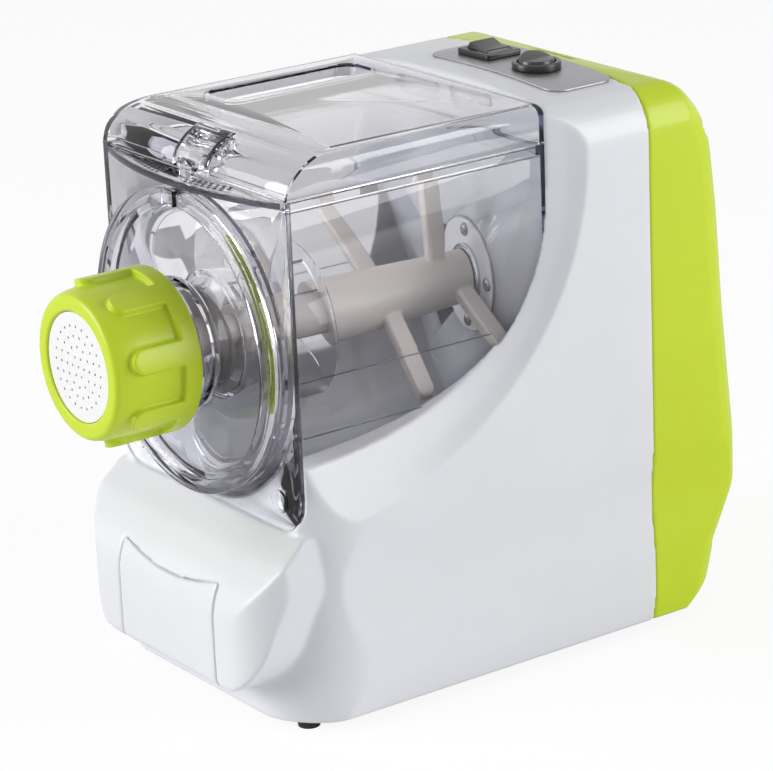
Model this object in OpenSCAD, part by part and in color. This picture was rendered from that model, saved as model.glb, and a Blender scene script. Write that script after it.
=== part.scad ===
// Electric pasta maker: an upright housing with a rear cover, a clear mixing bowl and lid,
// a round front cover with the extruder barrel, a shaping disc and its lock nut.
// +Z up, the nut points to -Y, origin at the middle of the footprint on the standing surface.

/* [Overall layout] */
// Height of the drive axis above the standing surface
axis_z = 186; // [180:1:190]
// Length from the bowl's front face to the column's front face
bowl_l = 155; // [145:1:165]
// Reach of the lock nut in front of the bowl's front face
snout_l = 71; // [66:0.5:74]
// Depth of the column with its rear cover
column_l = 121; // [118:1:126]

/* [Bowl] */
// Outer width of the bowl
bowl_w = 161; // [156:1:163]
// Wall of the bowl and of the lid
clear_wall = 2.5; // [2:0.25:3]
// Height of the bowl's rim
rim_z = 270; // [267:0.5:271]
// Height of the flange round the rim
rim_h = 5.5; // [4:0.5:7]
// Thickness of the bowl's front plate
plate_t = 3; // [2.5:0.25:4]
// Lowest point of the front plate
plate_z = 103; // [101:0.5:104]
// Corner radius of the front plate
plate_r = 17; // [12:0.5:20]
// Reach of the arched finger ledge in front of the bowl
ledge_reach = 14; // [10:0.5:16]
// Clear gap between the bowl and the housing
bowl_gap = 0.6; // [0.4:0.1:0.9]

/* [Lid] */
// Height of the lid from the bowl's rim to its top
lid_h = 20; // [19:0.5:21]
// Length of the curve from the lid's front edge to its flat top
lid_front_l = 26; // [24:0.5:28]
// Radius of the lid's side top edges
lid_side_r = 8; // [5:0.5:10]
// Width of the pouring slot
slot_w = 26; // [20:1:30]
// Length of the pouring slot
slot_l = 90; // [70:1:96]
// Distance of the slot's middle from the lid's middle
slot_x = 48; // [44:0.5:50]
// Width of the latch tab
latch_w = 29; // [24:1:34]
// Depth of the latch tab, back from the lid's front edge
latch_l = 16; // [14:0.5:20]
// Width of each hinge hook
hook_w = 32; // [26:1:36]
// Distance of the hooks from the middle
hook_x = 22; // [20:0.5:26]
// Height of each hinge hook
hook_h = 4; // [3:0.25:4.5]

/* [Front cover and barrel] */
// Radius of the round front cover
cover_r = 76.4; // [74:0.2:77]
// Depth of the round front cover
cover_l = 12; // [10:0.5:14]
// Wall of the front cover
cover_wall = 3; // [2.5:0.25:3.5]
// Outer radius of the extruder barrel
barrel_r = 30; // [29:0.25:31]
// Wall of the extruder barrel
barrel_wall = 2.8; // [2.2:0.1:3]
// Radius of the barrel's bell inside the bowl
bell_r = 38; // [36:0.5:40]
// Depth of the bell inside the bowl
bell_l = 32; // [28:1:38]
// Radius of the barrel's flange
flange_r = 36; // [34.5:0.25:38]

/* [Lock nut and shaping disc] */
// Outer radius of the lock nut at its rear
nut_r = 41.5; // [39.5:0.25:43]
// Length of the lock nut
nut_l = 46; // [43:0.5:47]
// Visible radius of the shaping disc
disc_view_r = 27.6; // [26:0.2:28.2]
// Thickness of the shaping disc
disc_t = 6; // [5:0.25:7]
// Radius of each hole in the shaping disc
hole_r = 0.7; // [0.5:0.05:1]
// Radius of the nut's waist, between its finger pads
waist_r = 38.3; // [37.5:0.1:39.5]
// Number of finger pads round the nut
pad_count = 8; // [6:1:10]
// Width of each finger pad
pad_w = 12.5; // [10:0.5:14]

/* [Paddle and auger] */
// Outer radius of the paddle's tube at its front
paddle_r = 16.5; // [15.5:0.1:17]
// Outer radius of the paddle's tube at the hub
paddle_rear_r = 13.8; // [12.5:0.1:14.5]
// Width of a mixing arm
arm_w = 13; // [11:0.5:15]
// Reach of the long mixing arms from the axis
arm_reach = 68; // [62:1:72]
// Pitch of the auger's flight
auger_pitch = 32; // [28:1:38]
// Radius of the auger's core
auger_core_r = 10; // [9:0.25:11]

/* [Housing] */
// Width of the housing
body_w = 181; // [178:1:184]
// Height of the top of the column
top_z = 292.5; // [291.5:0.25:294]
// Radius of the top's side edges
top_r = 28; // [24:0.5:32]
// Height of the housing's bottom edge above the surface
base_z = 4.5; // [4:0.25:6]
// Wall of the housing and the rear cover
shell_t = 3; // [2.5:0.25:3.5]
// Depth of the white part of the column, from its front face to the seam
seam_l = 57.5; // [55:0.5:60]
// Reach of the nose in front of the bowl's front face
nose_l = 30; // [27:0.5:32]
// Height of the nose's underside
nose_z = 20; // [18:0.5:22]

/* [Drawer] */
// Width of the drawer's front
drawer_w = 85; // [80:1:92]
// Height of the drawer's front
drawer_h = 56; // [52:0.5:58]
// Depth of the drawer's tray behind its front
drawer_l = 62; // [55:1:66]
// Gap round the drawer
drawer_gap = 0.5; // [0.3:0.1:0.8]

/* [Controls] */
// Width of the control plate
panel_w = 106; // [100:1:108]
// Depth of the control plate
panel_d = 40; // [37:0.5:41]
// Distance of the control plate's middle from the housing's middle
panel_x = 14; // [10:0.5:16]
// Thickness of the control plate
panel_t = 1.2; // [1:0.1:1.6]
// Width of the rectangular switch
switch_w = 26; // [23:0.5:28]
// Depth of the rectangular switch
switch_d = 22; // [19:0.5:24]
// Radius of the round switch
dial_r = 12.5; // [11:0.25:13]
// Angle that each rocker travels
rocker_travel = 20; // [14:1:22]

/* [Gear train] */
// Teeth of the motor pinion
motor_teeth = 12; // [11:1:13]
// Module of the first stage
mod_a = 1; // [0.95:0.01:1.02]
// Teeth of the first wheel
wheel_a_teeth = 60; // [58:1:60]
// Teeth of the first wheel's pinion
pinion_a_teeth = 14; // [13:1:15]
// Module of the second stage
mod_b = 1.25; // [1.2:0.01:1.26]
// Teeth of the second wheel
wheel_b_teeth = 56; // [54:1:57]
// Teeth of the second wheel's pinion
pinion_b_teeth = 15; // [14:1:16]
// Module of the output stage
mod_c = 1.5; // [1.45:0.01:1.52]
// Teeth of the output wheel
output_teeth = 60; // [58:1:61]
// Radius of the drive shaft
shaft_r = 6; // [5.5:0.25:6.5]
// Radius of each idler pin
pin_r = 4; // [3.5:0.25:4.5]
// Radial clearance of what turns on a pin or in a bearing
run_gap = 0.08; // [0.05:0.01:0.1]

/* [Motor] */
// Radius of the motor's can
motor_r = 32; // [30:0.5:34]
// Length of the motor's can
motor_l = 74; // [68:1:78]

/* [Feet] */
// Radius of a foot at the surface
foot_r = 6.3; // [5.5:0.1:7]
// Distance between the left and right feet
feet_w = 138; // [134:1:142]
// Distance between the front and rear feet
feet_l = 232; // [228:1:234]

/* [Hidden] */
$fn = 64;
// Gap of flat or curved faces of different bodies
gap = 0.3;
// A small length by which cutters pass through what they cut
cut = 1;

y_col = (bowl_l + snout_l - column_l) / 2;
y_front = y_col - bowl_l;
y_nut = y_front - snout_l;
y_rear = y_col + column_l;
y_seam = y_col + seam_l;
y_nose = y_front - nose_l;
y_base = y_front - 11;
y_chin = y_front + plate_t + gap;
chin_z = plate_z - gap;
half_w = body_w / 2;

// Open front of the housing, and its hollow
crown_r = 700;
scoop_y = y_front - 12;
scoop_top = top_z + 8;
wall_y = y_col + 6;
hollow_y = y_front + 57;
hollow_top = axis_z - bowl_w / 2 - 9.5;
rebate_x = half_w - 6;
plate_lip = 3;
plate_y1 = y_rear - 42;
boss_x = half_w - 9.5;
cover_screw_z0 = 40;
cover_screw_z1 = axis_z + 74;
screw_head_r = 3.5;

// Bowl, lid and latch
bowl_x = bowl_w / 2;
bowl_in_r = bowl_x - clear_wall;
pocket_x = bowl_x + bowl_gap;
bowl_back_y = y_col - gap;
ledge_h = 4;
prong_w = 12;
lid_z = rim_z + gap;
lid_top = lid_z + lid_h;
lid_back_y = y_col - 0.5;
slot_y = y_front + 93;
// The hinge line lies inside the lid's rear top edge, which turns clear of the column
hinge_y = y_col - 5;
hinge_z = lid_top - 4.5;
hook_z = hinge_z - 4;
hook_y = y_col + 3.6;
latch_y = y_front + latch_l;
pivot_y = latch_y - 4;
pivot_z = lid_top - 12;
pin_x_r = 1.5;
ear_r = 4;
// Room behind the latch tab, whose upper edge goes back as its lower edge is pulled out
latch_room = 1.9;
dimple_r = 12;

// Hub in the bowl's rear wall
hub_r = 29.7;
hub_t = 3;
hub_face_y = bowl_back_y - clear_wall - 0.4;
hub_screw_pcr = 24;
seal_r = 15.8;
bearing_r = 14;

// Front cover, barrel, disc and nut
cover_y = y_front - cover_l;
cover_back_y = y_front - gap;
opening_r = cover_r - 6;
lug_r = opening_r + 2.2;
lug_angles = [30, 150, 270];
lug_span = 26;
bell_y1 = y_front + bell_l + 12;
bell_y0 = bell_y1 - bell_l;
nut_back_y = y_nut + nut_l;
thread_r = barrel_r + 1.6;
nut_bore_r = thread_r + gap;
nut_lip = 4;
nut_band_l = 10;
pad_y = 8.5;
pad_a0 = 13;
disc_y = y_nut + nut_lip;
disc_r = barrel_r;
barrel_y = disc_y + disc_t + gap;

// Paddle, auger and drive shaft
paddle_y0 = bell_y1 + 2;
flight_r = barrel_r - barrel_wall - 0.6;
shaft_y0 = y_col - 40;
hex_r = shaft_r + 1.2;

// Gear train: each axis lies above the one before it
motor_z = axis_z - mod_a * (motor_teeth + wheel_a_teeth) / 2
    - mod_b * (pinion_a_teeth + wheel_b_teeth) / 2 - mod_c * (pinion_b_teeth + output_teeth) / 2;
wheel_a_z = motor_z + mod_a * (motor_teeth + wheel_a_teeth) / 2;
wheel_b_z = wheel_a_z + mod_b * (pinion_a_teeth + wheel_b_teeth) / 2;
box_t = 4;
box_x = 56;
box_y0 = wall_y;
box_y1 = box_y0 + box_t;
gear_a_w = 9;
gear_b_w = 9;
gear_c_w = 12;
gear_a_y = box_y1 + 2;
gear_b_y = gear_a_y + gear_a_w;
gear_c_y = gear_b_y + gear_b_w;
box_y2 = gear_c_y + gear_c_w + 2;
box_y3 = box_y2 + box_t;
clip_y = box_y3 + 0.8;
board_y = box_y3 + 7;

motor_y1 = box_y0 - 0.1;
motor_y0 = motor_y1 - motor_l;
motor_shaft_r = 3;
motor_screw_x = 15;

// Drawer
drawer_face_t = 5.5;
tray_x = drawer_w / 2 - 4;
tray_y = y_nose + drawer_face_t;
tray_z = nose_z + 3.5;
tray_h = 38;

// Controls
panel_y = y_seam - 1 - panel_d / 2;
bezel_z = top_z + panel_t;
switch_x = panel_x - 25;
dial_x = panel_x + 14;
rocker_x = switch_w / 2 - 4;
dial_well_r = dial_r - 2.5;
bezel_h = 3;
well_h = 11;

// Feet and cord outlet
foot_y0 = y_base + 17.5;
foot_y1 = foot_y0 + feet_l;
foot_stem_r = 3.2;
foot_stem_l = 6;
gland_r = 7;
gland_z = base_z + 26;
gland_seat_y = y_rear - 18;
gland_l = 9;
gland_rim_r = gland_r + 2.5;

// ---- helpers -------------------------------------------------------------------------------

function unit(v) = v / norm(v);

// Points of the arc that rounds corner p, between its neighbours a and b, with one chord for
// every arc_step degrees
arc_step = 7.5;
function corner(p, a, b, r) =
    let (u = unit(a - p), v = unit(b - p), half = acos(u * v) / 2,
        c = p + unit(u + v) * r / sin(half), s = p + u * r / tan(half) - c,
        e = p + v * r / tan(half) - c, a0 = atan2(s.y, s.x),
        turn = (atan2(e.y, e.x) - a0 + 540) % 360 - 180, n = max(2, ceil(abs(turn) / arc_step)))
    [for (i = [0:n]) c + r * [cos(a0 + turn * i / n), sin(a0 + turn * i / n)]];

// A polygon given as [y, z, corner radius] rows, with its corners rounded
function rounded(rows) =
    let (m = len(rows), p = [for (q = rows) [q.x, q.y]])
    [for (i = [0:m - 1]) each rows[i].z == 0 ? [p[i]] :
        corner(p[i], p[(i + m - 1) % m], p[(i + 1) % m], rows[i].z)];

// The same rows, brought in by t on the right of the way they run
function inset(rows, t) =
    let (m = len(rows), p = [for (q = rows) [q.x, q.y]])
    [for (i = [0:m - 1]) let (u = unit(p[i] - p[(i + m - 1) % m]), v = unit(p[(i + 1) % m] - p[i]),
        n = [u.y + v.y, -u.x - v.x] / (1 + u * v))
        [p[i].x + t * n.x, p[i].y + t * n.y, rows[i].z == 0 ? 0 : max(rows[i].z - t, 1)]];

function mirrored(rows) =
    concat(rows, [for (i = [len(rows) - 1:-1:0]) [-rows[i].x, rows[i].y, rows[i].z]]);

// A round bar along Y
module rod(r, y0, y1, x = 0, z = axis_z, r2 = -1) {
    translate([x, y0, z]) rotate([-90, 0, 0])
        cylinder(r1 = r, r2 = r2 < 0 ? r : r2, h = y1 - y0);
}

// A round bar along Z
module post(r, x, y, z0, z1) {
    translate([x, y, z0]) cylinder(r = r, h = z1 - z0);
}

// A box from its low to its high corner
module block(low, high) {
    translate(low) cube(high - low);
}

// An outline in X and Z, extruded along Y
module prism_xz(y0, y1) {
    translate([0, y1, 0]) rotate([90, 0, 0]) linear_extrude(y1 - y0) children();
}

// An outline in Y and Z, extruded along X
module prism_yz(x0, x1) {
    translate([x0, 0, 0]) rotate([90, 0, 90]) linear_extrude(x1 - x0) children();
}

module each_side() {
    children();
    mirror([1, 0, 0]) children();
}

// A rectangle with round corners, drawn with true arcs
module round_rect(w, d, r) {
    square([w - 2 * r, d], center = true);
    square([w, d - 2 * r], center = true);
    for (sx = [-1, 1], sy = [-1, 1])
        translate([sx * (w / 2 - r), sy * (d / 2 - r)]) circle(r);
}

// ---- housing -------------------------------------------------------------------------------

side_rows = [
    [half_w - 2.5, base_z, 3], [half_w, base_z + 15, 10], [half_w, base_z + 38, 24],
    [half_w - 2.2, base_z + 62, 18], [half_w - 2.2, base_z + 76, 16], [half_w, base_z + 95, 24],
    [half_w, top_z, top_r]
];

// The outline seen from the front, brought in by t
module front_outline(t = 0) {
    intersection() {
        polygon(rounded(mirrored([for (q = side_rows)
            [q.x - t, q.y + (q.y < base_z + 1 ? t : q.y > top_z - 1 ? -t : 0), max(q.z - t, 1)]])));
        crown(-t);
    }
}

// The low dome of the top, seen from the front and raised by t
module crown(t) {
    translate([0, top_z - crown_r]) circle(crown_r + t, $fn = 360);
}

// An outline seen from above: half width x, with the front corners rounded in true arcs
module plan_outline(x, y0, y1, r) {
    translate([r - x, y0]) square([2 * (x - r), y1 - y0]);
    translate([-x, y0 + r]) square([2 * x, y1 - y0 - r]);
    for (sx = [-1, 1]) translate([sx * (x - r), y0 + r]) circle(r);
}

// The open front seen from the side: a box with a quarter of an ellipse of power n below it
module scoop_outline(cz, a, b, n) {
    polygon(concat([[scoop_y, scoop_top], [scoop_y + a, scoop_top]],
        [for (t = [0:5:90]) [scoop_y + a * pow(cos(t), 2 / n), cz - b * pow(sin(t), 2 / n)]]));
}
module inner_scoop() scoop_outline(axis_z + 64, y_col - 4 - scoop_y, 113, 2.3);
module middle_scoop() scoop_outline(axis_z + 72, y_col + 8.5 - scoop_y, 140, 2.12);
module outer_scoop(t = 0) scoop_outline(axis_z + 79, y_col + 18.5 - scoop_y + t, 162 + t, 2);

// The wide hollow band between the two edges of the open front, on the +X side
module scoop_band() {
    mid_x = bowl_x + 5;
    hull() {
        prism_yz(bowl_x, bowl_x + 0.01) inner_scoop();
        prism_yz(mid_x, mid_x + 0.01) middle_scoop();
    }
    hull() {
        prism_yz(mid_x, mid_x + 0.01) middle_scoop();
        prism_yz(half_w, half_w + 0.01) outer_scoop();
    }
    prism_yz(half_w, half_w + cut) outer_scoop();
}

nose_rows = [[y_nose + 70, nose_z, 0], [y_nose, nose_z, 7], [y_nose, nose_z + 50, 40],
    [y_nose + 16, nose_z + 71, 45], [y_front - 0.5, chin_z, 4], [y_nose + 70, chin_z, 0]];

module nose() {
    intersection() {
        prism_yz(-half_w, half_w) polygon(rounded(nose_rows));
        prism_xz(y_nose, y_nose + 70) polygon(rounded(mirrored([
            [half_w - 20, nose_z, 38], [half_w - 5.5, nose_z + 56, 40], [half_w - 9, plate_z + 12, 0]])));
        linear_extrude(top_z) plan_outline(half_w - 3, y_nose, y_seam, 32);
    }
}

module body_blank() {
    intersection() {
        prism_xz(y_base, y_seam) front_outline();
        linear_extrude(top_z + cut) plan_outline(half_w, y_base, y_seam, 42);
        prism_yz(-half_w, half_w) polygon(rounded([[y_seam, base_z, 0], [y_base, base_z, 3],
            [y_base, nose_z + 66, 12], [y_front, chin_z, 8], [y_front, top_z + cut, 0],
            [y_seam, top_z + cut, 0]]));
    }
}

// Space for the bowl: its trough, its front plate and its side walls
module bowl_pocket() {
    prism_yz(-pocket_x, pocket_x) inner_scoop();
    rod(pocket_x, y_chin - cut, y_col);
    prism_xz(y_front - 20, y_chin) front_plate_outline(gap);
    block([-pocket_x, y_front - 20, axis_z], [pocket_x, y_col, top_z + 10]);
}

// Hollow of the column and of the base, open at the seam and below
module body_hollow() {
    difference() {
        intersection() {
            prism_xz(hollow_y, y_seam + cut) front_outline(shell_t);
            prism_yz(-half_w, half_w) polygon([[wall_y, hollow_top], [wall_y, top_z],
                [y_seam + cut, top_z], [y_seam + cut, 0], [hollow_y, 0], [hollow_y, hollow_top]]);
        }
        each_side() prism_yz(bowl_x - 7, half_w) outer_scoop(5);
    }
    block([-rebate_x, hollow_y, 0], [rebate_x, y_seam + cut, base_z + shell_t]);
}

// Places of the screws of the base plate
module base_screw_places() {
    for (x = [-boss_x, boss_x], y = [hollow_y + 8, y_seam - 8]) translate([x, y, 0]) children();
}

// Bosses for the long screws of the rear cover
module seam_bosses(r, y0, y1) {
    for (x = [-boss_x, boss_x], z = [cover_screw_z0, cover_screw_z1]) rod(r, y0, y1, x, z);
}

// The drawer's front seen from the front, grown by t: its top edge dips for the fingers
module drawer_outline(t = 0) {
    rise = 7;
    arc_r = (pow(drawer_w / 2, 2) + rise * rise) / (2 * rise);
    difference() {
        translate([-drawer_w / 2 - t, nose_z - 4]) square([drawer_w + 2 * t, drawer_h + 4 + t]);
        translate([0, nose_z + drawer_h - rise + arc_r]) circle(arc_r - t, $fn = 180);
    }
}

// Bay that the drawer slides into
module drawer_bay() {
    prism_xz(y_nose - cut, y_nose + drawer_face_t + drawer_gap) drawer_outline(drawer_gap);
    block([-tray_x - drawer_gap, y_nose - cut, tray_z - drawer_gap],
        [tray_x + drawer_gap, tray_y + drawer_l + drawer_gap, tray_z + tray_h + drawer_gap]);
}

// Recesses that the lid's hooks swing out of
module hook_recesses() {
    for (x = [-hook_x, hook_x])
        block([x - hook_w / 2 - 1, y_col - cut, hook_z - hook_h / 2 - 4.5],
            [x + hook_w / 2 + 1, hook_y + 0.8, hook_z + hook_h / 2 + 0.8]);
}

// Cutter that rounds the column's top front edge
module brow_cutter(r = 4) {
    prism_yz(-half_w - cut, half_w + cut) translate([y_col, top_z]) difference() {
        translate([-cut, -r]) square([r + cut, r + cut]);
        translate([r, -r]) circle(r);
    }
}

// Openings in the top for the two switches
module switch_openings(t) {
    translate([switch_x, panel_y, top_z - 12]) linear_extrude(20)
        square([switch_w - 3 + 2 * t, switch_d - 3 + 2 * t], center = true);
    post(dial_r - 1.5 + t, dial_x, panel_y, top_z - 12, top_z + 8);
}

module housing() color("whitesmoke") difference() {
    union() {
        difference() {
            union() {
                body_blank();
                nose();
            }
            body_hollow();
        }
        intersection() {
            union() {
                base_screw_places() post(7, 0, 0, base_z + plate_lip, hollow_top + cut);
                seam_bosses(8, y_seam - 22, y_seam);
            }
            body_blank();
        }
    }
    bowl_pocket();
    each_side() scoop_band();
    drawer_bay();
    hook_recesses();
    brow_cutter();
    rod(hub_r + gap, y_col - cut, y_col + hub_t);
    rod(bearing_r + gap, y_col, wall_y + cut);
    hub_screw_places() rod(1.4, y_col - cut, wall_y - 0.5);
    switch_openings(0.4);
    base_screw_places() post(1.4, 0, 0, base_z, base_z + 25);
    seam_bosses(1.5, y_seam - 16, y_seam + cut);
    for (x = [-1, 1]) post(foot_stem_r + 0.1, x * feet_w / 2, foot_y0, 0, base_z + foot_stem_l + gap);
}

// ---- rear cover and base plate -------------------------------------------------------------

rear_corner_r = 20;
rear_rows = [[y_seam - 40, base_z, 0], [y_rear - 32, base_z, 5], [y_rear - 19.5, base_z + 11, 20],
    [y_rear - 13.5, base_z + 35, 24], [y_rear, base_z + 63, 24], [y_rear, base_z + 91, 50],
    [y_rear - 6.5, axis_z - 22, 140], [y_rear - 10, axis_z + 32, 120], [y_rear - 15, axis_z + 78, 50],
    [y_rear - 33, top_z - 8.5, 24], [y_seam + 12, top_z - 1.4, 60], [y_seam - 40, top_z, 0]];

// A slice of the rear cover's corner: the side profile, carried round to an angle from the rear
module rear_slice(angle, r, t) {
    rotate([0, 0, -angle]) prism_yz(-3 * half_w, 3 * half_w) polygon(concat(
        [for (q = rounded(rear_rows))
            [(half_w - r) * abs(sin(angle)) + (q.x - r) * cos(angle) + r - t, q.y]],
        [[-y_rear, top_z], [-y_rear, base_z]]));
}

module rear_blank(t = 0) {
    intersection() {
        prism_xz(y_seam - (t > 0 ? cut : 0), y_rear) front_outline(t);
        rear_slice(0, 0, t);
        intersection_for (angle = [18:18:72], side = [-1, 1])
            rear_slice(side * angle, rear_corner_r, t);
    }
}

module rear_cover() color("yellowgreen") difference() {
    union() {
        difference() {
            rear_blank();
            rear_blank(shell_t);
        }
        intersection() {
            union() {
                seam_bosses(8, y_seam + gap, y_rear);
                rod(gland_r + 4, gland_seat_y - gland_l, y_rear, 0, gland_z);
            }
            rear_blank();
        }
    }
    block([-rebate_x, y_seam - cut, 0], [rebate_x, plate_y1 + gap, base_z + plate_lip]);
    seam_bosses(2, y_seam - cut, y_rear);
    seam_bosses(screw_head_r + 1, y_seam + 14, y_rear + cut);
    rod(gland_r + 0.1, gland_seat_y - gland_l - cut, y_rear + cut, 0, gland_z);
    rod(gland_rim_r + gap, gland_seat_y, y_rear + cut, 0, gland_z);
    for (x = [-1, 1]) post(foot_stem_r + 0.1, x * feet_w / 2, foot_y1, 0, base_z + foot_stem_l + gap);
}

// The screws from the back, sunk in the rear cover's wells
module cover_screws() color("silver") seam_screws();
module seam_screws() {
    seam_bosses(1.5 - 0.1, y_seam - 15, y_seam + 14.2);
    seam_bosses(screw_head_r, y_seam + 14, y_seam + 16.5);
}

module base_plate() color("gainsboro") difference() {
    block([-rebate_x + gap, hollow_y + gap, base_z], [rebate_x - gap, plate_y1, base_z + plate_lip - 0.1]);
    base_screw_places() post(1.8, 0, 0, base_z - cut, base_z + plate_lip + cut);
    base_screw_places() post(screw_head_r + gap, 0, 0, base_z - cut, base_z + 1.5);
    // Air slots below the motor
    for (i = [-5:5])
        block([-22, (motor_y0 + motor_y1) / 2 + 7 * i - 1.5, base_z - cut],
            [22, (motor_y0 + motor_y1) / 2 + 7 * i + 1.5, base_z + plate_lip + cut]);
}

module base_screws() color("silver") base_screw_places() {
    post(screw_head_r, 0, 0, base_z + 0.1, base_z + 1.5);
    post(1.3, 0, 0, base_z + 1.4, base_z + plate_lip + 12);
}

module rubber_feet() color("dimgray")
    for (x = [-1, 1], y = [foot_y0, foot_y1]) translate([x * feet_w / 2, y, 0]) {
        cylinder(r1 = foot_r - 0.8, r2 = foot_r, h = base_z);
        cylinder(r = foot_stem_r, h = base_z + foot_stem_l);
    }

module cord_gland() color("dimgray") difference() {
    union() {
        rod(gland_r, gland_seat_y - gland_l + gap, gland_seat_y + 1, 0, gland_z);
        rod(gland_rim_r, gland_seat_y, gland_seat_y + 3, 0, gland_z);
    }
    rod(4, gland_seat_y - gland_l, y_rear, 0, gland_z);
}

// ---- controls ------------------------------------------------------------------------------

module control_plate() color("lightsteelblue") difference() {
    intersection() {
        prism_xz(panel_y - panel_d, panel_y + panel_d) difference() {
            crown(panel_t);
            crown(0);
        }
        translate([panel_x, panel_y, 0]) linear_extrude(top_z + 5) round_rect(panel_w, panel_d, 9);
    }
    switch_openings(0.4);
}

// A switch's flange, seated on the domed plate
module seated_flange() {
    difference() {
        translate([0, panel_y, bezel_z - 3]) linear_extrude(3 + bezel_h) children();
        prism_xz(panel_y - panel_d, panel_y + panel_d) crown(panel_t);
    }
}

module main_switch_bezel() color("dimgray") difference() {
    union() {
        seated_flange() translate([switch_x, 0]) round_rect(switch_w, switch_d, 1.5);
        translate([switch_x, panel_y, bezel_z - 14]) linear_extrude(14)
            square([switch_w - 3, switch_d - 3], center = true);
    }
    translate([switch_x, panel_y, bezel_z - well_h]) linear_extrude(20)
        square([2 * rocker_x + 2 * gap, switch_d - 6], center = true);
}

module mode_switch_bezel() color("dimgray") difference() {
    union() {
        seated_flange() translate([dial_x, 0]) circle(dial_r);
        post(dial_r - 1.5, dial_x, panel_y, bezel_z - 14, bezel_z);
    }
    post(dial_well_r, dial_x, panel_y, bezel_z - well_h, bezel_z + 4);
}

// A rocker seen along its pivot: an arc at each end, and a top that sinks to the middle
module rocker_outline(reach) {
    rise = reach * tan(rocker_travel / 2);
    intersection() {
        circle(reach);
        polygon([[-reach, -5], [reach, -5], [reach, bezel_h + 1.2 + rise], [0, bezel_h + 1.2],
            [-reach, bezel_h + 1.2 + rise]]);
    }
}

module main_rocker() color("black") translate([switch_x, panel_y, bezel_z])
    rotate([0, rocker_travel / 2, 0]) rotate([90, 0, 0])
        linear_extrude(switch_d - 6 - 2 * gap, center = true) rocker_outline(rocker_x);

module mode_rocker() color("black") translate([dial_x, panel_y, bezel_z])
    rotate([0, rocker_travel / 2, 0]) intersection() {
        sphere(dial_well_r - gap);
        rotate([90, 0, 0]) linear_extrude(2 * dial_well_r, center = true) rocker_outline(dial_well_r);
    }

// ---- bowl ----------------------------------------------------------------------------------

// The bowl's trough seen from the front, with half width r
module trough_outline(r, top) {
    translate([0, axis_z]) circle(r);
    translate([-r, axis_z]) square([2 * r, top - axis_z]);
}

module front_plate_outline(t = 0) {
    x = bowl_x + t;
    translate([-x, plate_z - t + plate_r + t]) square([2 * x, rim_z - plate_z - plate_r]);
    translate([plate_r - bowl_x, plate_z - t]) square([2 * (bowl_x - plate_r), plate_r + t + cut]);
    for (sx = [-1, 1]) translate([sx * (bowl_x - plate_r), plate_z + plate_r]) circle(plate_r + t);
}

// Segments of a ring round the drive axis, each span degrees wide, at the given angles
module ring_segments(r0, r1, y0, y1, angles, span) {
    for (a = angles) prism_xz(y0, y1) translate([0, axis_z]) intersection() {
        difference() {
            circle(r1);
            circle(r0);
        }
        polygon([[0, 0], for (t = [-0.5, -0.25, 0, 0.25, 0.5])
            3 * r1 * [cos(a + t * span), sin(a + t * span)]]);
    }
}
module bowl() color("lavender", 0.5) difference() {
    union() {
        prism_xz(y_front + plate_t, bowl_back_y) difference() {
            trough_outline(bowl_x, rim_z);
            trough_outline(bowl_in_r, rim_z + cut);
        }
        prism_xz(y_front, y_front + plate_t) front_plate_outline();
        prism_xz(bowl_back_y - clear_wall, bowl_back_y) trough_outline(bowl_x, rim_z);
        // Flange round the rim, inside the walls
        difference() {
            block([-bowl_x, y_front, rim_z - rim_h], [bowl_x, bowl_back_y, rim_z]);
            block([-bowl_in_r + 2, y_front + plate_t + 2, rim_z - rim_h - cut],
                [bowl_in_r - 2, bowl_back_y - clear_wall - 2, rim_z + cut]);
        }
        finger_ledge();
        for (x = [-1, 1]) rod(6, y_front - 1.2, y_front + 1, x * (bowl_x - 17), plate_z + 14.5);
    }
    // Opening of the front plate, with a notch for each lug of the front cover
    rod(opening_r + gap, y_front - cut, y_front + plate_t + cut);
    ring_segments(opening_r - 2, lug_r + 0.8, y_front - cut, y_front + plate_t + cut,
        [for (a = lug_angles) a + 45], lug_span + 5);
    rod(hub_r + 0.6, bowl_back_y - clear_wall - cut, bowl_back_y + cut);
    // Slot that the latch's prong drops into
    block([-prong_w / 2 - 0.6, y_front - 6.5, rim_z - ledge_h - cut],
        [prong_w / 2 + 0.6, y_front - 0.3, rim_z + cut]);
}

// Arched ledge under the lid's front edge
module finger_ledge() {
    arc_r = (pow(bowl_x - 4, 2) + pow(ledge_reach, 2)) / (2 * ledge_reach);
    intersection() {
        translate([0, y_front - ledge_reach + arc_r, 0]) difference() {
            post(arc_r, 0, 0, rim_z - ledge_h, rim_z - 0.6);
            post(arc_r - 2, 0, 0, rim_z - ledge_h - cut, rim_z - ledge_h / 2 - 1);
        }
        block([-bowl_x, y_front - ledge_reach - cut, 0], [bowl_x, y_front + cut, rim_z]);
    }
}

module hub_screw_places() {
    for (a = [0:90:270]) translate([hub_screw_pcr * cos(a), 0, hub_screw_pcr * sin(a)]) children();
}

module hub_plate() color("lightgray") difference() {
    rod(hub_r, hub_face_y, y_col + hub_t);
    rod(seal_r + 0.1, hub_face_y - cut, y_col + hub_t + cut);
    hub_screw_places() rod(1.8, hub_face_y - cut, y_col + hub_t + cut);
}

module hub_screws() color("silver") hub_screw_places() {
    rod(1.3, hub_face_y - 0.1, wall_y - 1);
    intersection() {
        translate([0, hub_face_y + 1.2, axis_z]) sphere(3.6);
        rod(5, hub_face_y - 5, hub_face_y);
    }
}

module shaft_seal() color("silver") difference() {
    union() {
        rod(seal_r, hub_face_y - 0.8, y_col + hub_t);
        rod(seal_r + 1, hub_face_y - 2.4, hub_face_y);
    }
    rod(shaft_r + gap, hub_face_y - 5, y_col + hub_t + cut);
    rod(seal_r - 1.2, hub_face_y - 5, hub_face_y - 1.2);
}

// ---- lid and latch -------------------------------------------------------------------------

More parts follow.
